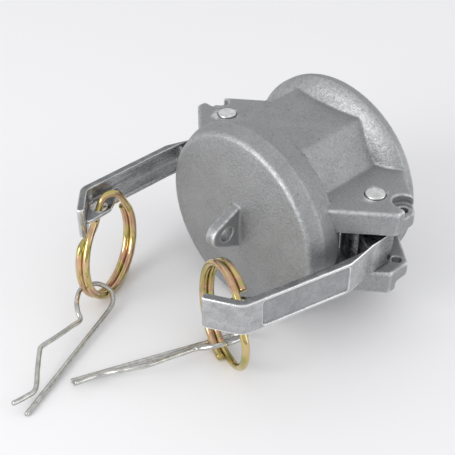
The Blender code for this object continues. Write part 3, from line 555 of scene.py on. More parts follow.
def rounded_outline(corners):
    """Corners of (x, y, radius) as points, with an arc where a corner has a radius."""
    points = []
    for index, (x, y, radius) in enumerate(corners):
        here = Vector((x, y))
        if radius == 0:
            points.append(here)
            continue
        before = (Vector(corners[index - 1][:2]) - here).normalized()
        after = (Vector(corners[(index + 1) % len(corners)][:2]) - here).normalized()
        half_angle = before.angle(after) / 2
        centre = here + (before + after).normalized() * (radius / math.sin(half_angle))
        start = here + before * (radius / math.tan(half_angle)) - centre
        end = here + after * (radius / math.tan(half_angle)) - centre
        sweep = start.angle_signed(end)
        for step in range(ARC_STEPS + 1):
            angle = -sweep * step / ARC_STEPS
            cosine, sine = math.cos(angle), math.sin(angle)
            points.append(centre + Vector((start.x * cosine - start.y * sine, start.x * sine + start.y * cosine)))
    return points


def arc_points(centre, radius, first, last, steps):
    """Points on an arc, from the first angle to the last."""
    points = []
    for step in range(steps + 1):
        angle = first + (last - first) * step / steps
        points.append(Vector((centre[0] + radius * math.cos(angle), centre[1] + radius * math.sin(angle))))
    return points


print("a round corner has", ARC_STEPS + 1, "points")


# %% [markdown]
# ## The casting
# The cap is one casting: a thick round end, a body with four wide flats and four narrow ones, a
# flange at the mouth, two pairs of ears for the pins and a lug for a tether. It is built as the
# pattern maker would: a turned blank, with the flats, ears and lug added and the windows for the
# cams cut, then given its cast skin. The lathe's cuts come last, with their own material.

# %% Sizes of the casting, in metres
SOCKET_RADIUS = 0.0320
SOCKET_DEPTH = 0.0500
END_THICKNESS = 0.0083
END_CROWN = 0.0009
DISC_RADIUS = 0.0406
DISC_BACK = 0.0094
DISC_BACK_RADIUS = DISC_RADIUS - 0.0021
DISC_FACE_RADIUS = DISC_RADIUS - 0.0025
DISC_SLOPE = 0.0062
DISC_SIDE_ROUND = 0.0030
DISC_EDGE_ROUND = 0.0026
FLANGE_RADIUS = 0.0424
FLANGE_RIM = 0.0037
FLANGE_SHOULDER = 0.0058
SHOULDER_ROUND = 0.60
FLANGE_EDGE = 0.0005
WAIST_RADIUS = SOCKET_RADIUS + 0.00082
WALL_OUT = SOCKET_RADIUS + 0.0022
SLANT_FLAT_OUT = SOCKET_RADIUS + 0.00164
SLANT_FLAT_ANGLE = math.radians(35.0)
TOP_FLAT_OUT = SOCKET_RADIUS + 0.0028
FLAT_ROUND = 0.0020
PIN_OUT = 0.0407
PIN_FROM_FLOOR = 0.0254
PIN_RADIUS = 0.00395
EAR_INNER_Z = 0.00885
EAR_THICKNESS = 0.01035
EAR_OUTER_Z = EAR_INNER_Z + EAR_THICKNESS
EAR_REACH = 0.01448
EAR_FRONT = 0.0039
EAR_BACK = 0.0064
EAR_ROUND = 0.0016
SAFETY_HOLE_OUT = 0.0102
SAFETY_HOLE_BACK = 0.0044
CAM_SWING = 0.0122
CAP_SIDES = 192
print("flange", round(2000 * FLANGE_RADIUS, 1), "mm across, socket", round(2000 * SOCKET_RADIUS, 1), "mm")


# %% Profile of the turned blank
def cap_profile():
    """The turned blank from the mouth down to the closed end."""
    points = [(FLANGE_RADIUS - FLANGE_EDGE, SOCKET_DEPTH), (FLANGE_RADIUS, SOCKET_DEPTH - FLANGE_EDGE)]
    shoulder_top = SOCKET_DEPTH - FLANGE_RIM
    for step in range(ARC_STEPS + 1):
        share = step / ARC_STEPS
        angle = math.pi / 2 * share
        out = SHOULDER_ROUND * math.cos(angle) + (1 - SHOULDER_ROUND) * (1 - share)
        back = SHOULDER_ROUND * math.sin(angle) + (1 - SHOULDER_ROUND) * share
        radius = SOCKET_RADIUS + (FLANGE_RADIUS - SOCKET_RADIUS) * out
        if radius > WAIST_RADIUS:
            points.append((radius, shoulder_top - FLANGE_SHOULDER * back))
    points.append((WAIST_RADIUS, shoulder_top - FLANGE_SHOULDER))
    points.append((WAIST_RADIUS, DISC_BACK))
    points.append((DISC_BACK_RADIUS - 0.0008, DISC_BACK))
    face_height = END_CROWN - END_THICKNESS
    rim = rounded_outline(
        [
            (0.0, 0.0, 0.0),
            (DISC_BACK_RADIUS, DISC_BACK - 0.0008, 0.0),
            (DISC_RADIUS, face_height + DISC_SLOPE, DISC_SIDE_ROUND),
            (DISC_FACE_RADIUS, face_height, DISC_EDGE_ROUND),
            (0.0, face_height - END_CROWN / 2, 0.0),
        ]
    )
    points.extend((point.x, point.y) for point in rim[1:-1])
    for share in (0.9, 0.75, 0.6, 0.45, 0.3, 0.15, 0.02):
        points.append((DISC_FACE_RADIUS * share, END_CROWN * share * share - END_THICKNESS))
    return points


print("the blank has", len(cap_profile()), "rings")


# %% Outline of the eight flats
def facet_corner(first_angle, first_distance, second_angle, second_distance):
    """Where two flats meet, each given by the angle of its normal and its distance from the axis."""
    scale = math.sin(second_angle - first_angle)
    x = (first_distance * math.sin(second_angle) - second_distance * math.sin(first_angle)) / scale
    y = (second_distance * math.cos(first_angle) - first_distance * math.cos(second_angle)) / scale
    return x, y


def facet_outline():
    low_x, low_z = facet_corner(0.0, WALL_OUT, SLANT_FLAT_ANGLE, SLANT_FLAT_OUT)
    high_x, high_z = facet_corner(SLANT_FLAT_ANGLE, SLANT_FLAT_OUT, math.pi / 2, TOP_FLAT_OUT)
    corners = []
    for x, z in ((low_x, -low_z), (low_x, low_z), (high_x, high_z), (-high_x, high_z)):
        corners.append((x, z, FLAT_ROUND))
    for x, z in ((-low_x, low_z), (-low_x, -low_z), (-high_x, -high_z), (high_x, -high_z)):
        corners.append((x, z, FLAT_ROUND))
    return rounded_outline(corners)


print("the flats have", len(facet_outline()), "corner points")


# %% Outline of an ear
def ear_outline(side):
    root = SOCKET_RADIUS - EAR_THICKNESS / 2
    outer = PIN_OUT + EAR_REACH
    flange_root = SOCKET_DEPTH - FLANGE_RIM + FLANGE_EDGE
    corners = [
        (root, DISC_BACK / 3, 0.0),
        (WALL_OUT - FLANGE_EDGE, DISC_BACK / 3, 0.0),
        (outer, PIN_FROM_FLOOR - EAR_FRONT, EAR_ROUND),
        (outer, PIN_FROM_FLOOR + EAR_BACK, EAR_ROUND),
        (PIN_OUT - 0.0027, flange_root - FLANGE_EDGE * 2, 0.0),
        (WALL_OUT - FLANGE_EDGE, flange_root, 0.0),
        (root, flange_root, 0.0),
    ]
    return rounded_outline([(side * x, y, radius) for x, y, radius in corners][::side])


print("an ear has", len(ear_outline(1)), "outline points")


# %% Blank, flats, ears and lug
casting = lathe("cap_casting", cap_profile(), CAP_SIDES)
flats = plate("flats", facet_outline(), DISC_BACK / 2, SOCKET_DEPTH - FLANGE_RIM)
lay(flats, rotation=(-math.pi / 2, 0, 0))
combine(casting, flats, "UNION")
for side in (1, -1):
    for bottom in (EAR_INNER_Z, -EAR_OUTER_Z):
        ear = plate("ear", ear_outline(side), bottom, bottom + EAR_THICKNESS)
        soften_rims(ear, 0.0010)
        combine(casting, ear, "UNION")

LUG_HALF = 0.0023
LUG_BASE_HALF = 0.0096
LUG_ROUND = 0.0050
LUG_TIP = END_THICKNESS + 0.0142 - LUG_ROUND
lug_points = [Vector((-END_THICKNESS / 3, LUG_BASE_HALF)), Vector((-END_THICKNESS / 3, -LUG_BASE_HALF))]
lug_points.append(Vector((-END_THICKNESS, -LUG_BASE_HALF)))
for point in arc_points((LUG_TIP, 0.0), LUG_ROUND, math.radians(-70), math.radians(70), 24):
    lug_points.append(Vector((-point.x, point.y)))
lug_points.append(Vector((-END_THICKNESS, LUG_BASE_HALF)))
lug = plate("lug", lug_points, -LUG_HALF, LUG_HALF)
lay(lug, rotation=(math.pi / 2, 0, math.pi / 2))
soften_rims(lug, 0.0005)
combine(casting, lug, "UNION")
print("blank with", len(casting.data.polygons), "faces")

# %% Round and square cutters
def drill(radius, low, high, place, axis="Z", sides=64):
    """A round cutter from low to high along an axis."""
    rotations = {"X": (0, math.pi / 2, 0), "Y": (math.pi / 2, 0, 0), "Z": (0, 0, 0)}
    middle = Vector(place)
    middle["XYZ".index(axis)] += (low + high) / 2
    bpy.ops.object.select_all(action="DESELECT")
    bpy.ops.mesh.primitive_cylinder_add(
        vertices=sides, radius=radius, depth=high - low, location=middle, rotation=rotations[axis]
    )
    cutter = bpy.context.active_object
    bpy.ops.object.transform_apply(location=True, rotation=True, scale=True)
    return cutter


def block(low, high):
    """A box cutter between two corners."""
    bpy.ops.object.select_all(action="DESELECT")
    middle = [(a + b) / 2 for a, b in zip(low, high)]
    bpy.ops.mesh.primitive_cube_add(size=1.0, location=middle)
    cutter = bpy.context.active_object
    cutter.scale = [b - a for a, b in zip(low, high)]
    bpy.ops.object.transform_apply(location=True, rotation=True, scale=True)
    return cutter


# %% Cam windows, clip pockets and the lug's hole
WINDOW_HALF = math.sqrt(CAM_SWING**2 - (PIN_OUT - WALL_OUT) ** 2) + 0.0004
POCKET_RADIUS = 0.00435
POCKET_FLOOR = EAR_OUTER_Z - 0.0040
for side in (1, -1):
    near, far = sorted((side * (PIN_OUT - CAM_SWING - 0.003), side * (WALL_OUT + 0.003)))
    half_height = EAR_INNER_Z - 0.0001
    window = block(
        (near, PIN_FROM_FLOOR - WINDOW_HALF, -half_height), (far, PIN_FROM_FLOOR + WINDOW_HALF, half_height)
    )
    combine(casting, window, "DIFFERENCE")
    hole = Vector((side * (PIN_OUT + SAFETY_HOLE_OUT), PIN_FROM_FLOOR + SAFETY_HOLE_BACK, 0.0))
    combine(casting, drill(0.0020, -0.03, 0.03, hole), "DIFFERENCE")
    for sign in (1, -1):
        bottom, top = sorted((sign * POCKET_FLOOR, sign * (EAR_OUTER_Z + 0.003)))
        run = 0.0145 - SAFETY_HOLE_OUT + 0.003
        shape = arc_points((0.0, 0.0), POCKET_RADIUS, math.radians(90), math.radians(270), 24)
        shape += [Vector((run, -POCKET_RADIUS)), Vector((run, POCKET_RADIUS))]
        shape = [Vector((side * point.x + hole.x, point.y + hole.y)) for point in shape][::side]
        combine(casting, plate("pocket", shape, bottom, top), "DIFFERENCE")
lug_hole_place = (0.0, -END_THICKNESS - 0.0069, 0.0)
combine(casting, drill(0.0031, -0.006, 0.006, lug_hole_place, "X"), "DIFFERENCE")
print("cam windows", round(2000 * WINDOW_HALF, 1), "mm long, clip pockets", 2000 * POCKET_RADIUS, "mm wide")

# %% Cast skin, then the lathe's cuts
cast_skin(casting, 0.00045, 2, 0.42)
casting.data.materials.clear()
casting.data.materials.append(cast_aluminium)

GROOVE_RADIUS = 0.0336
BOSS_RADIUS = 0.02515
GROOVE_FLOOR = -0.0008
GROOVE_TOP = GROOVE_FLOOR + 0.00685
bore_profile = [
    (SOCKET_RADIUS + 0.0018 + 0.003, SOCKET_DEPTH + 0.003),
    (SOCKET_RADIUS, SOCKET_DEPTH - 0.0018),
    (SOCKET_RADIUS, GROOVE_TOP),
    (GROOVE_RADIUS, GROOVE_TOP),
    (GROOVE_RADIUS, GROOVE_FLOOR),
    (BOSS_RADIUS, GROOVE_FLOOR),
    (BOSS_RADIUS, 0.0),
]
socket_cut = lathe("socket_cut", bore_profile, CAP_SIDES)
pin_cuts = [drill(PIN_RADIUS + 0.00025, -0.03, 0.03, (side * PIN_OUT, PIN_FROM_FLOOR, 0)) for side in (1, -1)]
facing_cut = block((-0.05, SOCKET_DEPTH - 0.00001, -0.05), (0.05, SOCKET_DEPTH + 0.005, 0.05))
for cut in (facing_cut, socket_cut, *pin_cuts):
    cut.data.materials.append(machined_aluminium)
    combine(casting, cut, "DIFFERENCE", "TRANSFER")
print("cut casting has", len(casting.data.polygons), "faces")

# %% Worn edges, and a painted highlight on the flange's shoulder
SHOULDER_HIGHLIGHT = 0.28
mark_edges(casting)
shoulder_top = SOCKET_DEPTH - FLANGE_RIM
on_shoulder = [
    shoulder_top - FLANGE_SHOULDER < vert.co.y < shoulder_top
    and vert.normal.y < -0.35
    and math.hypot(vert.co.x, vert.co.z) < FLANGE_RADIUS
    for vert in casting.data.vertices
]
# Painted highlight: the whole shoulder of the flange is made paler and stored with the edge wear.
rub_and_highlight = np.array(on_shoulder, dtype=np.float32) * SHOULDER_HIGHLIGHT
store_mark(casting, "wear_and_highlight", np.maximum(read_wear(casting), rub_and_highlight))
smooth_shading(casting)
finish_piece(casting, None, "cap_body", "cap")

# %% [markdown]
# ## Gasket
# The gasket is a square-cut ring of rubber that sits in its groove under the socket's wall. It is
# turned as a plain ring, and its rims are softened as the mould leaves them.

# %% Gasket
GASKET_OUTER_RADIUS = 0.03335
GASKET_INNER_RADIUS = 0.0254
gasket_bottom = GROOVE_FLOOR + 0.00025
gasket_top = gasket_bottom + 0.00635
gasket_profile = [(GASKET_OUTER_RADIUS, gasket_bottom), (GASKET_OUTER_RADIUS, gasket_top)]
gasket = lathe("gasket_ring", gasket_profile, CAP_SIDES)
combine(gasket, drill(GASKET_INNER_RADIUS, -0.01, 0.02, (0, 0, 0), "Y", CAP_SIDES), "DIFFERENCE")
soften_rims(gasket, 0.0005)
smooth_shading(gasket)
finish_piece(gasket, nitrile_rubber, "gasket", "cap")

# %% [markdown]
# ## Pins
# Each pin is a plain rod. Its ends were faced, so they have a small chamfer and a shallow mark of
# the cutter in their middle, which the inset makes.

# %% Pins
PIN_STANDS_PROUD = 0.0008


def make_pin(label, side):
    end = EAR_OUTER_Z + PIN_STANDS_PROUD
    pin = drill(PIN_RADIUS, -end, end, (side * PIN_OUT, PIN_FROM_FLOOR, 0), "Z", 72)
    pin.name = f"pivot_pin_{label}"
    soften_rims(pin, 0.0005, 4)
    bpy.ops.object.mode_set(mode="EDIT")
    bpy.ops.mesh.select_all(action="DESELECT")
    work = bmesh.from_edit_mesh(pin.data)
    for face in work.faces:
        face.select_set(abs(face.normal.z) > 0.99 and len(face.verts) > 8)
    bmesh.update_edit_mesh(pin.data)
    bpy.ops.mesh.inset(thickness=0.0011, use_individual=True)
    bpy.ops.mesh.inset(thickness=0.0008, depth=-0.00012, use_individual=True)
    bpy.ops.object.mode_set(mode="OBJECT")
    smooth_shading(pin, 30.0)
    finish_piece(pin, pin_steel, f"pin_{label}", "cap")


make_pin("right", 1)
make_pin("left", -1)

# %% [markdown]
# ## Cam arms
# A cam arm is a strip that stands on edge. One end is the round cam head with the pin's bore, then
# comes a neck, the lever with a sunk panel outside and a channel inside, and a tip that turns in.
# A thin web with a hole fills the bend and takes the ring. It is modelled once in the pin's own
# frame, and the left arm is a mirrored copy, opened by 12.6 degrees.

# %% Sizes of the arm, seen from the pin, in metres
ARM_THICKNESS = 0.0032
ARM_BOTTOM = -0.00855
ARM_TOP = 0.00565
ELBOW = Vector((0.0109, -0.0245))
LEVER_LENGTH = 0.0460
LEVER_LEAN = math.radians(13.07)
TIP_LENGTH = 0.0159
TIP_LEAN = math.radians(61.0)
BEND_ROUND = 0.0060
CAM_RADIUS = 0.0087
CAM_OFFSET = 0.0035
CAM_BACK = 0.0005
WEB_TOP = ARM_TOP - 0.0068
WEB_THICKNESS = 0.0015
WEB_HOLE_RADIUS = 0.0035
WEB_HOLE_BACK = 0.0030
LEFT_ARM_OPEN = math.radians(12.6)


def heading_vector(angle):
    return Vector((-math.sin(angle), -math.cos(angle)))


def inward(direction):
    return Vector((direction.y, -direction.x))


lever = heading_vector(LEVER_LEAN)
tip_run = heading_vector(TIP_LEAN)
bend = ELBOW + lever * LEVER_LENGTH
tip = bend + tip_run * TIP_LENGTH
web_hole = bend - lever * WEB_HOLE_BACK + inward(lever) * 0.0079
print("arm reaches", round(-1000 * tip.y, 1), "mm from its pin")


# %% Outline of the arm
def arm_outline():
    half_turn = (TIP_LEAN - LEVER_LEAN) / 2
    bend_in = bend + inward(heading_vector(LEVER_LEAN + half_turn)) * (ARM_THICKNESS / math.cos(half_turn))
    corners = [(0.0093, CAM_RADIUS - CAM_BACK, 0.0089)]
    for point in arc_points((-CAM_OFFSET, -CAM_BACK), CAM_RADIUS, math.pi / 2, math.radians(300), 32):
        corners.append((point.x, point.y, 0.0))
    neck_in = ELBOW + inward(lever) * ARM_THICKNESS - lever * (0.0245 - 0.01415)
    corners.append((neck_in.x - 0.0008, neck_in.y, 0.0025))
    elbow_in = ELBOW + inward(lever) * ARM_THICKNESS + lever * 0.0015
    corners.append((elbow_in.x, elbow_in.y, 0.0060))
    corners.append((bend_in.x, bend_in.y, BEND_ROUND - ARM_THICKNESS))
    tip_in = tip + inward(tip_run) * ARM_THICKNESS
    corners.append((tip_in.x, tip_in.y, 0.00144))
    corners.append((tip.x, tip.y, 0.00144))
    corners.append((bend.x, bend.y, BEND_ROUND))
    corners.append((ELBOW.x, ELBOW.y, BEND_ROUND))
    corners.append((ELBOW.x - 0.0005, ELBOW.y + 0.0050, 0.0))
    corners.append((0.0093, -0.0105, 0.0))
    return rounded_outline(corners)


print("arm outline has", len(arm_outline()), "points")


# %% Web, and cutters for the panel and the channel
def web_outline():
    half = ARM_THICKNESS / 2
    rim = 0.0069
    start = bend - lever * (WEB_HOLE_BACK + 0.0150) + inward(lever) * half
    corner = bend + inward(heading_vector((LEVER_LEAN + TIP_LEAN) / 2)) * half
    end = tip - tip_run * half + inward(tip_run) * half
    corners = [(start.x, start.y, 0.0)]
    for along_x, along_y in ((0.15, 1.15), (-0.62, 0.45), (-1.04, -0.95)):
        corners.append((web_hole.x + rim * along_x, web_hole.y + rim * along_y, 0.0040))
    corners += [(end.x, end.y, 0.0), (corner.x, corner.y, 0.0)]
    return rounded_outline(corners)


def lever_recess(depth_low, depth_high, start, finish, margin=0.0014):
    """A cutter with round corners for a panel in one face of the lever."""
    corners = [(start, ARM_BOTTOM + margin), (finish, ARM_BOTTOM + margin)]
    corners += [(finish, ARM_TOP - margin), (start, ARM_TOP - margin)]
    recess = plate("recess", rounded_outline([(x, y, margin) for x, y in corners]), depth_low, depth_high)
    along = Vector((lever.x, lever.y, 0.0))
    across = Vector((inward(lever).x, inward(lever).y, 0.0))
    for vert in recess.data.vertices:
        x, y, z = vert.co
        vert.co = Vector((ELBOW.x, ELBOW.y, 0.0)) + along * x + Vector((0, 0, y)) + across * z
    face_out(recess)
    return recess


# %% Model the arm once
PANEL_START, PANEL_END, PANEL_DEPTH = 0.0005, LEVER_LENGTH - 0.0082, 0.0005
CHANNEL_START, CHANNEL_END, CHANNEL_DEPTH = -0.0060, LEVER_LENGTH - 0.0035, 0.0008
arm = plate("cam_arm_right", arm_outline(), ARM_BOTTOM, ARM_TOP)
soften_rims(arm, 0.0005)
combine(arm, lever_recess(-0.003, PANEL_DEPTH, PANEL_START, PANEL_END), "DIFFERENCE")
combine(arm, lever_recess(ARM_THICKNESS - CHANNEL_DEPTH, 0.006, CHANNEL_START, CHANNEL_END), "DIFFERENCE")
web = plate("web", web_outline(), WEB_TOP - WEB_THICKNESS, WEB_TOP)
combine(arm, web, "UNION")
cast_skin(arm, 0.0002, 8, 0.42)
combine(arm, drill(PIN_RADIUS + 0.0003, -0.02, 0.02, (0, 0, 0)), "DIFFERENCE")
combine(
    arm, drill(WEB_HOLE_RADIUS, WEB_TOP - 0.003, WEB_TOP + 0.001, (web_hole.x, web_hole.y, 0), "Z", 48), "DIFFERENCE"
)
print("arm has", len(arm.data.polygons), "faces")

# %% [markdown]
# ## Marks on the arm
# The cam head sits between the ears and gets painted shade, dark at the pin and fading out 12.5 mm
# from it. The narrow faces, which look up or down, get painted shade too. The channel, which gets a
# painted reflection, and the panel, which gets painted shade, are told from the rest by how deep a
# point lies behind the lever's outer face, and by which way it looks.

# %% Marks on the arm
mark_edges(arm, 0.0008, 5)
# Painted shade on the cam head, strongest at the pin and gone 12.5 mm from it.
cam_shade = [min(max((0.0125 - vert.co.xy.length) / 0.0045, 0.0), 0.85) for vert in arm.data.vertices]
# Painted shade on the narrow faces that look up or down.
edge_face = [min(max((abs(vert.normal.z) - 0.80) / 0.15, 0.0), 1.0) for vert in arm.data.vertices]
channel, panel = [], []
for vert in arm.data.vertices:
    out = vert.co.xy - ELBOW
    depth, along = out.dot(inward(lever)), out.dot(lever)
    facing = vert.normal.xy.dot(inward(lever))
    # Points in the channel, which gets a painted reflection.
    in_channel = 0.0014 < depth < 0.0045 and -0.0100 < along < LEVER_LENGTH
    channel.append(0.85 if in_channel and facing > 0.3 else 0.0)
    # Points in the sunk panel, which gets painted shade.
    in_panel = 0.0003 < depth < 0.0008 and PANEL_START < along < PANEL_END
    panel.append(1.0 if in_panel and facing < -0.8 else 0.0)
for name, values in (("cam_shade", cam_shade), ("edge_face", edge_face), ("channel", channel), ("panel", panel)):
    store_mark(arm, name, values)
store_mark(arm, "wear_and_highlight", read_wear(arm) * (1.0 - 0.8 * np.array(channel, dtype=np.float32)))
print("points in the channel:", sum(value > 0 for value in channel), "in the panel:", round(sum(panel)))

# %% Place both arms
arm_left = arm.copy()
arm_left.data = arm.data.copy()
arm_left.name = "cam_arm_left"
bpy.context.scene.collection.objects.link(arm_left)
lay(arm, place=(PIN_OUT, PIN_FROM_FLOOR, 0))
lay(arm_left, scale=(-1, 1, 1))
lay(arm_left, place=(-PIN_OUT, PIN_FROM_FLOOR, 0), rotation=(0, 0, -LEFT_ARM_OPEN))
for item, label in ((arm, "right"), (arm_left, "left")):
    smooth_shading(item)
    finish_piece(item, tumbled_steel, f"arm_{label}", f"{label}_arm")

# %% [markdown]
# ## Wires
# The rings and the clips are bent wire. Their routes are the model's own: points along a coil or a
# hairpin, joined by one smooth curve. Each becomes a curve with a round section, and is made a mesh
# at the end. Near each cut end the radius drops a little, because cutting leaves a small round there.

# %% Bend a wire along a route
def smooth_route(points, spacing):
    """Points at an even spacing along a Catmull-Rom curve through the given points."""
    padded = [points[0] * 2 - points[1], *points, points[-1] * 2 - points[-2]]
    dense = []
    for a, b, c, d in zip(padded, padded[1:], padded[2:], padded[3:]):
        for step in range(12):
            t = step / 12
            cubic = b * 2 + (c - a) * t + (a * 2 - b * 5 + c * 4 - d) * t**2 + (b * 3 - a - c * 3 + d) * t**3
            dense.append(cubic / 2)
    dense.append(points[-1])
    lengths = [0.0]
    for first, second in zip(dense, dense[1:]):
        lengths.append(lengths[-1] + (second - first).length)
    count = max(2, round(lengths[-1] / spacing))
    route = []
    index = 0
    for step in range(count + 1):
        target = lengths[-1] * step / count
        while index < len(lengths) - 2 and lengths[index + 1] < target:
            index += 1
        share = (target - lengths[index]) / (lengths[index + 1] - lengths[index])
        route.append(dense[index].lerp(dense[index + 1], share))
    return route


def bend_wire(name, points, radius, spacing=0.0007):
    """A round wire along the points, as a mesh, with slightly rounded cut ends."""
    route = smooth_route(points, spacing)
    near = [route[0].lerp(route[1], share) for share in (0.18, 0.45)]
    far = [route[-1].lerp(route[-2], share) for share in (0.45, 0.18)]
    route = [route[0], *near, *route[1:-1], *far, route[-1]]
    bpy.ops.object.select_all(action="DESELECT")
    bpy.ops.curve.primitive_bezier_curve_add()
    item = bpy.context.active_object
    item.name = name
    curve = item.data
    curve.splines.clear()
    spline = curve.splines.new("POLY")
    spline.points.add(len(route) - 1)
    for place, point in zip(spline.points, route):
        place.co = (*point, 1.0)
    for index, factor in ((0, 0.80), (1, 0.94), (2, 1.0)):
        spline.points[index].radius = factor
        spline.points[-1 - index].radius = factor
    curve.dimensions = "3D"
    curve.bevel_depth = radius
    curve.bevel_resolution = 6
    curve.use_fill_caps = True
    bpy.ops.object.convert(target="MESH")
    item = bpy.context.active_object
    item.name = name
    bpy.ops.object.mode_set(mode="EDIT")
    close_and_face_out()
    bpy.ops.object.mode_set(mode="OBJECT")
    smooth_shading(item, 50.0)
    return item


# %% The rings' own frames
RING_WIRE_RADIUS = 0.0015
TURN_OFFSET = RING_WIRE_RADIUS + 0.00005


def relaxed(route, first, last, rounds):
    """Even out the bends of a route between two shares of its length."""
    start, end = max(1, round(first * len(route))), min(len(route) - 1, round(last * len(route)))
    for _ in range(rounds):
        middle = [(route[i - 1] + route[i] * 2 + route[i + 1]) / 4 for i in range(start, end)]
        route = [*route[:start], *middle, *route[end:]]
    return route


def ring_axes(heading, lean):
    level = Vector((math.cos(heading), math.sin(heading), 0.0))
    across = Vector((-math.sin(heading), math.cos(heading), 0.0))
    upright = Vector((0.0, 0.0, 1.0))
    axis = across * math.cos(lean) + upright * math.sin(lean)
    return level, axis, upright * math.cos(lean) - across * math.sin(lean)


def place_route(route, centre, axes):
    level, axis, rise = axes
    return [centre + level * p.x + rise * p.y + axis * p.z for p in route]


def ease(share):
    share = min(max(share, 0.0), 1.0)
    return share * share * (3 - 2 * share)


def hole_in_world(side, open_angle):
    angle = side * open_angle
    x, y = side * web_hole.x, web_hole.y
    return Vector(
        (
            side * PIN_OUT + x * math.cos(angle) - y * math.sin(angle),
            PIN_FROM_FLOOR + x * math.sin(angle) + y * math.cos(angle),
            WEB_TOP - WEB_THICKNESS / 2,
        )
    )


# %% Right ring
RING_STEP = math.radians(7.0)
RIGHT_RADIUS = 0.0203


def right_ring_route():
    first, last = math.radians(26.5), math.radians(-545.0)
    cross_start, cross_end = math.radians(-190.0), math.radians(-315.0)
    points = []
    count = round((first - last) / RING_STEP)
    for step in range(count + 1):
        angle = first + (last - first) * step / count
        offset = TURN_OFFSET * (1 - 2 * ease((cross_start - angle) / (cross_start - cross_end)))
        dip = 0.0021 * ease(1 - abs(angle - math.radians(-296.0)) / math.radians(24.0))
        radius = RIGHT_RADIUS - dip
        points.append(Vector((radius * math.sin(angle), radius * math.cos(angle), offset)))
    return points


right_axes = ring_axes(math.radians(-21.1), math.radians(-4.7))
reach = RIGHT_RADIUS - 0.0002
hole_angle = math.radians(41.5)
in_plane = Vector((reach * math.sin(hole_angle), reach * math.cos(hole_angle), -TURN_OFFSET))
right_centre = place_route([-in_plane], hole_in_world(1, 0.0), right_axes)[0]
ring = bend_wire("pull_ring_right", place_route(right_ring_route(), right_centre, right_axes), RING_WIRE_RADIUS)
finish_piece(ring, gold_zinc, "ring_right", "right_ring")

# %% [markdown]
# The left ring's wire turns sharply where it is threaded through the arm's hole. The points of
# that stretch are listed one by one, and its bends are then evened out, as the stiffness of wire does.

# %% Left ring
LEFT_RADIUS = 0.0201
THREAD_START, THREAD_END = 0.30, 0.64
THREAD_ROUNDS = 18
WIRE_SPACING = 0.0007
LEFT_HOLE = Vector((-0.0049, 0.0156, -0.0041))
LEFT_THREAD = [
    (0.0215, -0.0030, 0.0032),
    (0.0170, -0.0036, 0.0029),
    (0.0120, -0.0042, 0.0021),
    (0.0070, -0.0040, 0.0011),
    (0.0026, -0.0026, 0.0000),
    (0.0000, 0.0000, 0.0000),
    (-0.0016, 0.0026, 0.0004),
    (-0.0034, 0.0044, 0.0016),
    (-0.0054, 0.0046, 0.0036),
    (-0.0076, 0.0032, 0.0054),
]


def left_ring_arc(first, last, offset):
    count = round((first - last) / RING_STEP)
    angles = [first + (last - first) * step / count for step in range(count + 1)]
    return [Vector((LEFT_RADIUS * math.sin(a), LEFT_RADIUS * math.cos(a), offset)) for a in angles]


left_axes = ring_axes(math.radians(-65.3), math.radians(2.9))
left_centre = place_route([-LEFT_HOLE], hole_in_world(-1, LEFT_ARM_OPEN), left_axes)[0]
left_route = left_ring_arc(math.radians(-65.0), math.radians(-298.0), -TURN_OFFSET)
left_route += [LEFT_HOLE + Vector(step) for step in LEFT_THREAD]
left_route += left_ring_arc(math.radians(-411.0), math.radians(-696.0), TURN_OFFSET)
left_route = smooth_route(place_route(left_route, left_centre, left_axes), WIRE_SPACING)
left_route = relaxed(left_route, THREAD_START, THREAD_END, THREAD_ROUNDS)
ring = bend_wire("pull_ring_left", left_route, RING_WIRE_RADIUS)
finish_piece(ring, gold_zinc, "ring_left", "left_ring")

# %% [markdown]
# ## Spring clips
# A clip is a hairpin: a straight leg, an open eye that hooks round the ring, and a waved leg that
# grips. The pattern is drawn flat, as shares of the clip's length and of its eye, and then laid out
# along the straight leg's direction.

# %% Clips
CLIP_WIRE_RADIUS = 0.0010
CLIP_LENGTH = 0.0565
EYE_REACH = 0.0136
EYE_DEPTH = 0.0141
CLIP_PATTERN = [
    (CLIP_LENGTH, -0.09),
    (CLIP_LENGTH * 0.66, -0.06),
    (CLIP_LENGTH * 0.33, -0.03),
    (0.0, 0.0),
    (-0.43 * EYE_REACH, 0.0),
    (-0.74 * EYE_REACH, -0.06),
    (-0.96 * EYE_REACH, -0.24),
    (-EYE_REACH, -0.42),
    (-0.94 * EYE_REACH, -0.62),
    (-0.80 * EYE_REACH, -0.80),
    (-0.43 * EYE_REACH, -0.98),
    (-0.18 * EYE_REACH, -1.0),
    (0.16 * EYE_REACH, -0.88),
    (0.42 * EYE_REACH, -0.68),
    (0.60 * EYE_REACH, -0.48),
    (CLIP_LENGTH * 0.24, -0.57),
    (CLIP_LENGTH * 0.38, -0.71),
    (CLIP_LENGTH * 0.52, -0.865),
    (CLIP_LENGTH * 0.57, -0.815),
    (CLIP_LENGTH * 0.69, -0.56),
    (CLIP_LENGTH * 0.81, -0.305),
    (CLIP_LENGTH * 0.90, -0.38),
    (CLIP_LENGTH, -0.54),
]


def make_clip(label, centre, offset, heading, climb, roll):
    heading, climb, roll = math.radians(heading), math.radians(climb), math.radians(roll)
    level = Vector((math.cos(heading), math.sin(heading), 0.0))
    across = Vector((-math.sin(heading), math.cos(heading), 0.0))
    upright = Vector((0.0, 0.0, 1.0))
    leg = level * math.cos(climb) + upright * math.sin(climb)
    rise = upright * math.cos(climb) - level * math.sin(climb)
    away = across * math.cos(roll) - rise * math.sin(roll)
    start = centre + Vector(offset)
    points = [start + leg * x + away * (EYE_DEPTH * y) for x, y in CLIP_PATTERN]
    clip = bend_wire(f"spring_clip_{label}", points, CLIP_WIRE_RADIUS)
    finish_piece(clip, clip_steel, f"clip_{label}", f"{label}_clip")


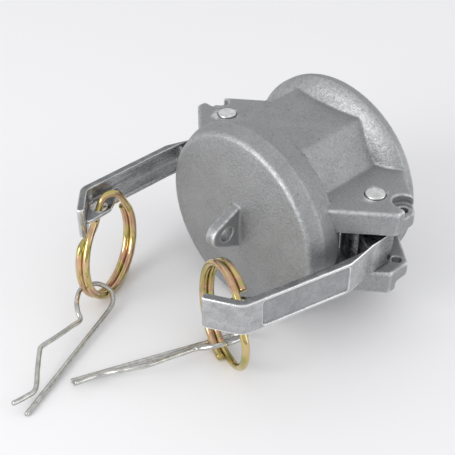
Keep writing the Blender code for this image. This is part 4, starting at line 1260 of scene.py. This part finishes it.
make_clip("right", right_centre, (-0.00990, -0.00037, -0.02101), -109.5, 2.0, 144.0)
make_clip("left", left_centre, (0.01576, -0.01618, -0.01867), -65.5, -0.2, 36.0)

# %% [markdown]
# ## Table, light and backdrop
# The cap lies on a pale table. It rests on its flange, the rim of its closed end and the rings, so
# the table is tilted by 2.2 degrees in the cap's own frame. The light is a soft studio: a world
# that is a little darker at the horizon, a wide softbox low at the front, which draws the bright
# line on the disc's rim and the shadow behind, and a weak one at the right and behind.

# %% Table
TABLE_HEIGHT = -0.04060
TABLE_SLOPE = 0.039
bpy.ops.object.select_all(action="DESELECT")
bpy.ops.mesh.primitive_plane_add(size=6.0, location=(0, 0, TABLE_HEIGHT), rotation=(-math.atan(TABLE_SLOPE), 0, 0))
table = bpy.context.active_object
table.name = "table_top"
material, tree, shader, place = start_material("matt_white_paper", Roughness=0.9)
shader.inputs["Base Color"].default_value = linear("F3F3F4")
shader.inputs["Specular IOR Level"].default_value = 0.2
table.data.materials.append(material)
print("table", round(-1000 * TABLE_HEIGHT, 1), "mm below the socket's axis")

# %% World and lamps
world = bpy.data.worlds.new("soft_studio")
bpy.context.scene.world = world
world.use_nodes = True
tree = world.node_tree
sky = tree.nodes["Background"]
direction = add_node(tree, "TexCoord", "Generated", ())
height = add_node(tree, "SeparateXYZ", "Z", (direction,))
tone = paint_layers(tree, linear("A6A6A7"), ((height, 0.02, 0.5, 1.0, linear("EDEDEE")),))
tree.links.new(tone, sky.inputs["Color"])
sky.inputs["Strength"].default_value = 1.0


def add_lamp(name, place, target, size, power):
    bpy.ops.object.select_all(action="DESELECT")
    bpy.ops.object.light_add(type="AREA", location=place)
    lamp = bpy.context.active_object
    lamp.name = name
    lamp.data.shape = "DISK"
    lamp.data.size = size
    lamp.data.energy = power
    lamp.rotation_euler = (Vector(target) - Vector(place)).to_track_quat("-Z", "Y").to_euler()


add_lamp("key_softbox", (-0.10, -1.02, 0.38), (0.0, 0.0, 0.0), 0.68, 6.8)
add_lamp("right_softbox", (0.86, 0.58, 0.26), (0.0, 0.0, 0.0), 0.80, 2.0)

bpy.context.scene.view_settings.view_transform = "Standard"
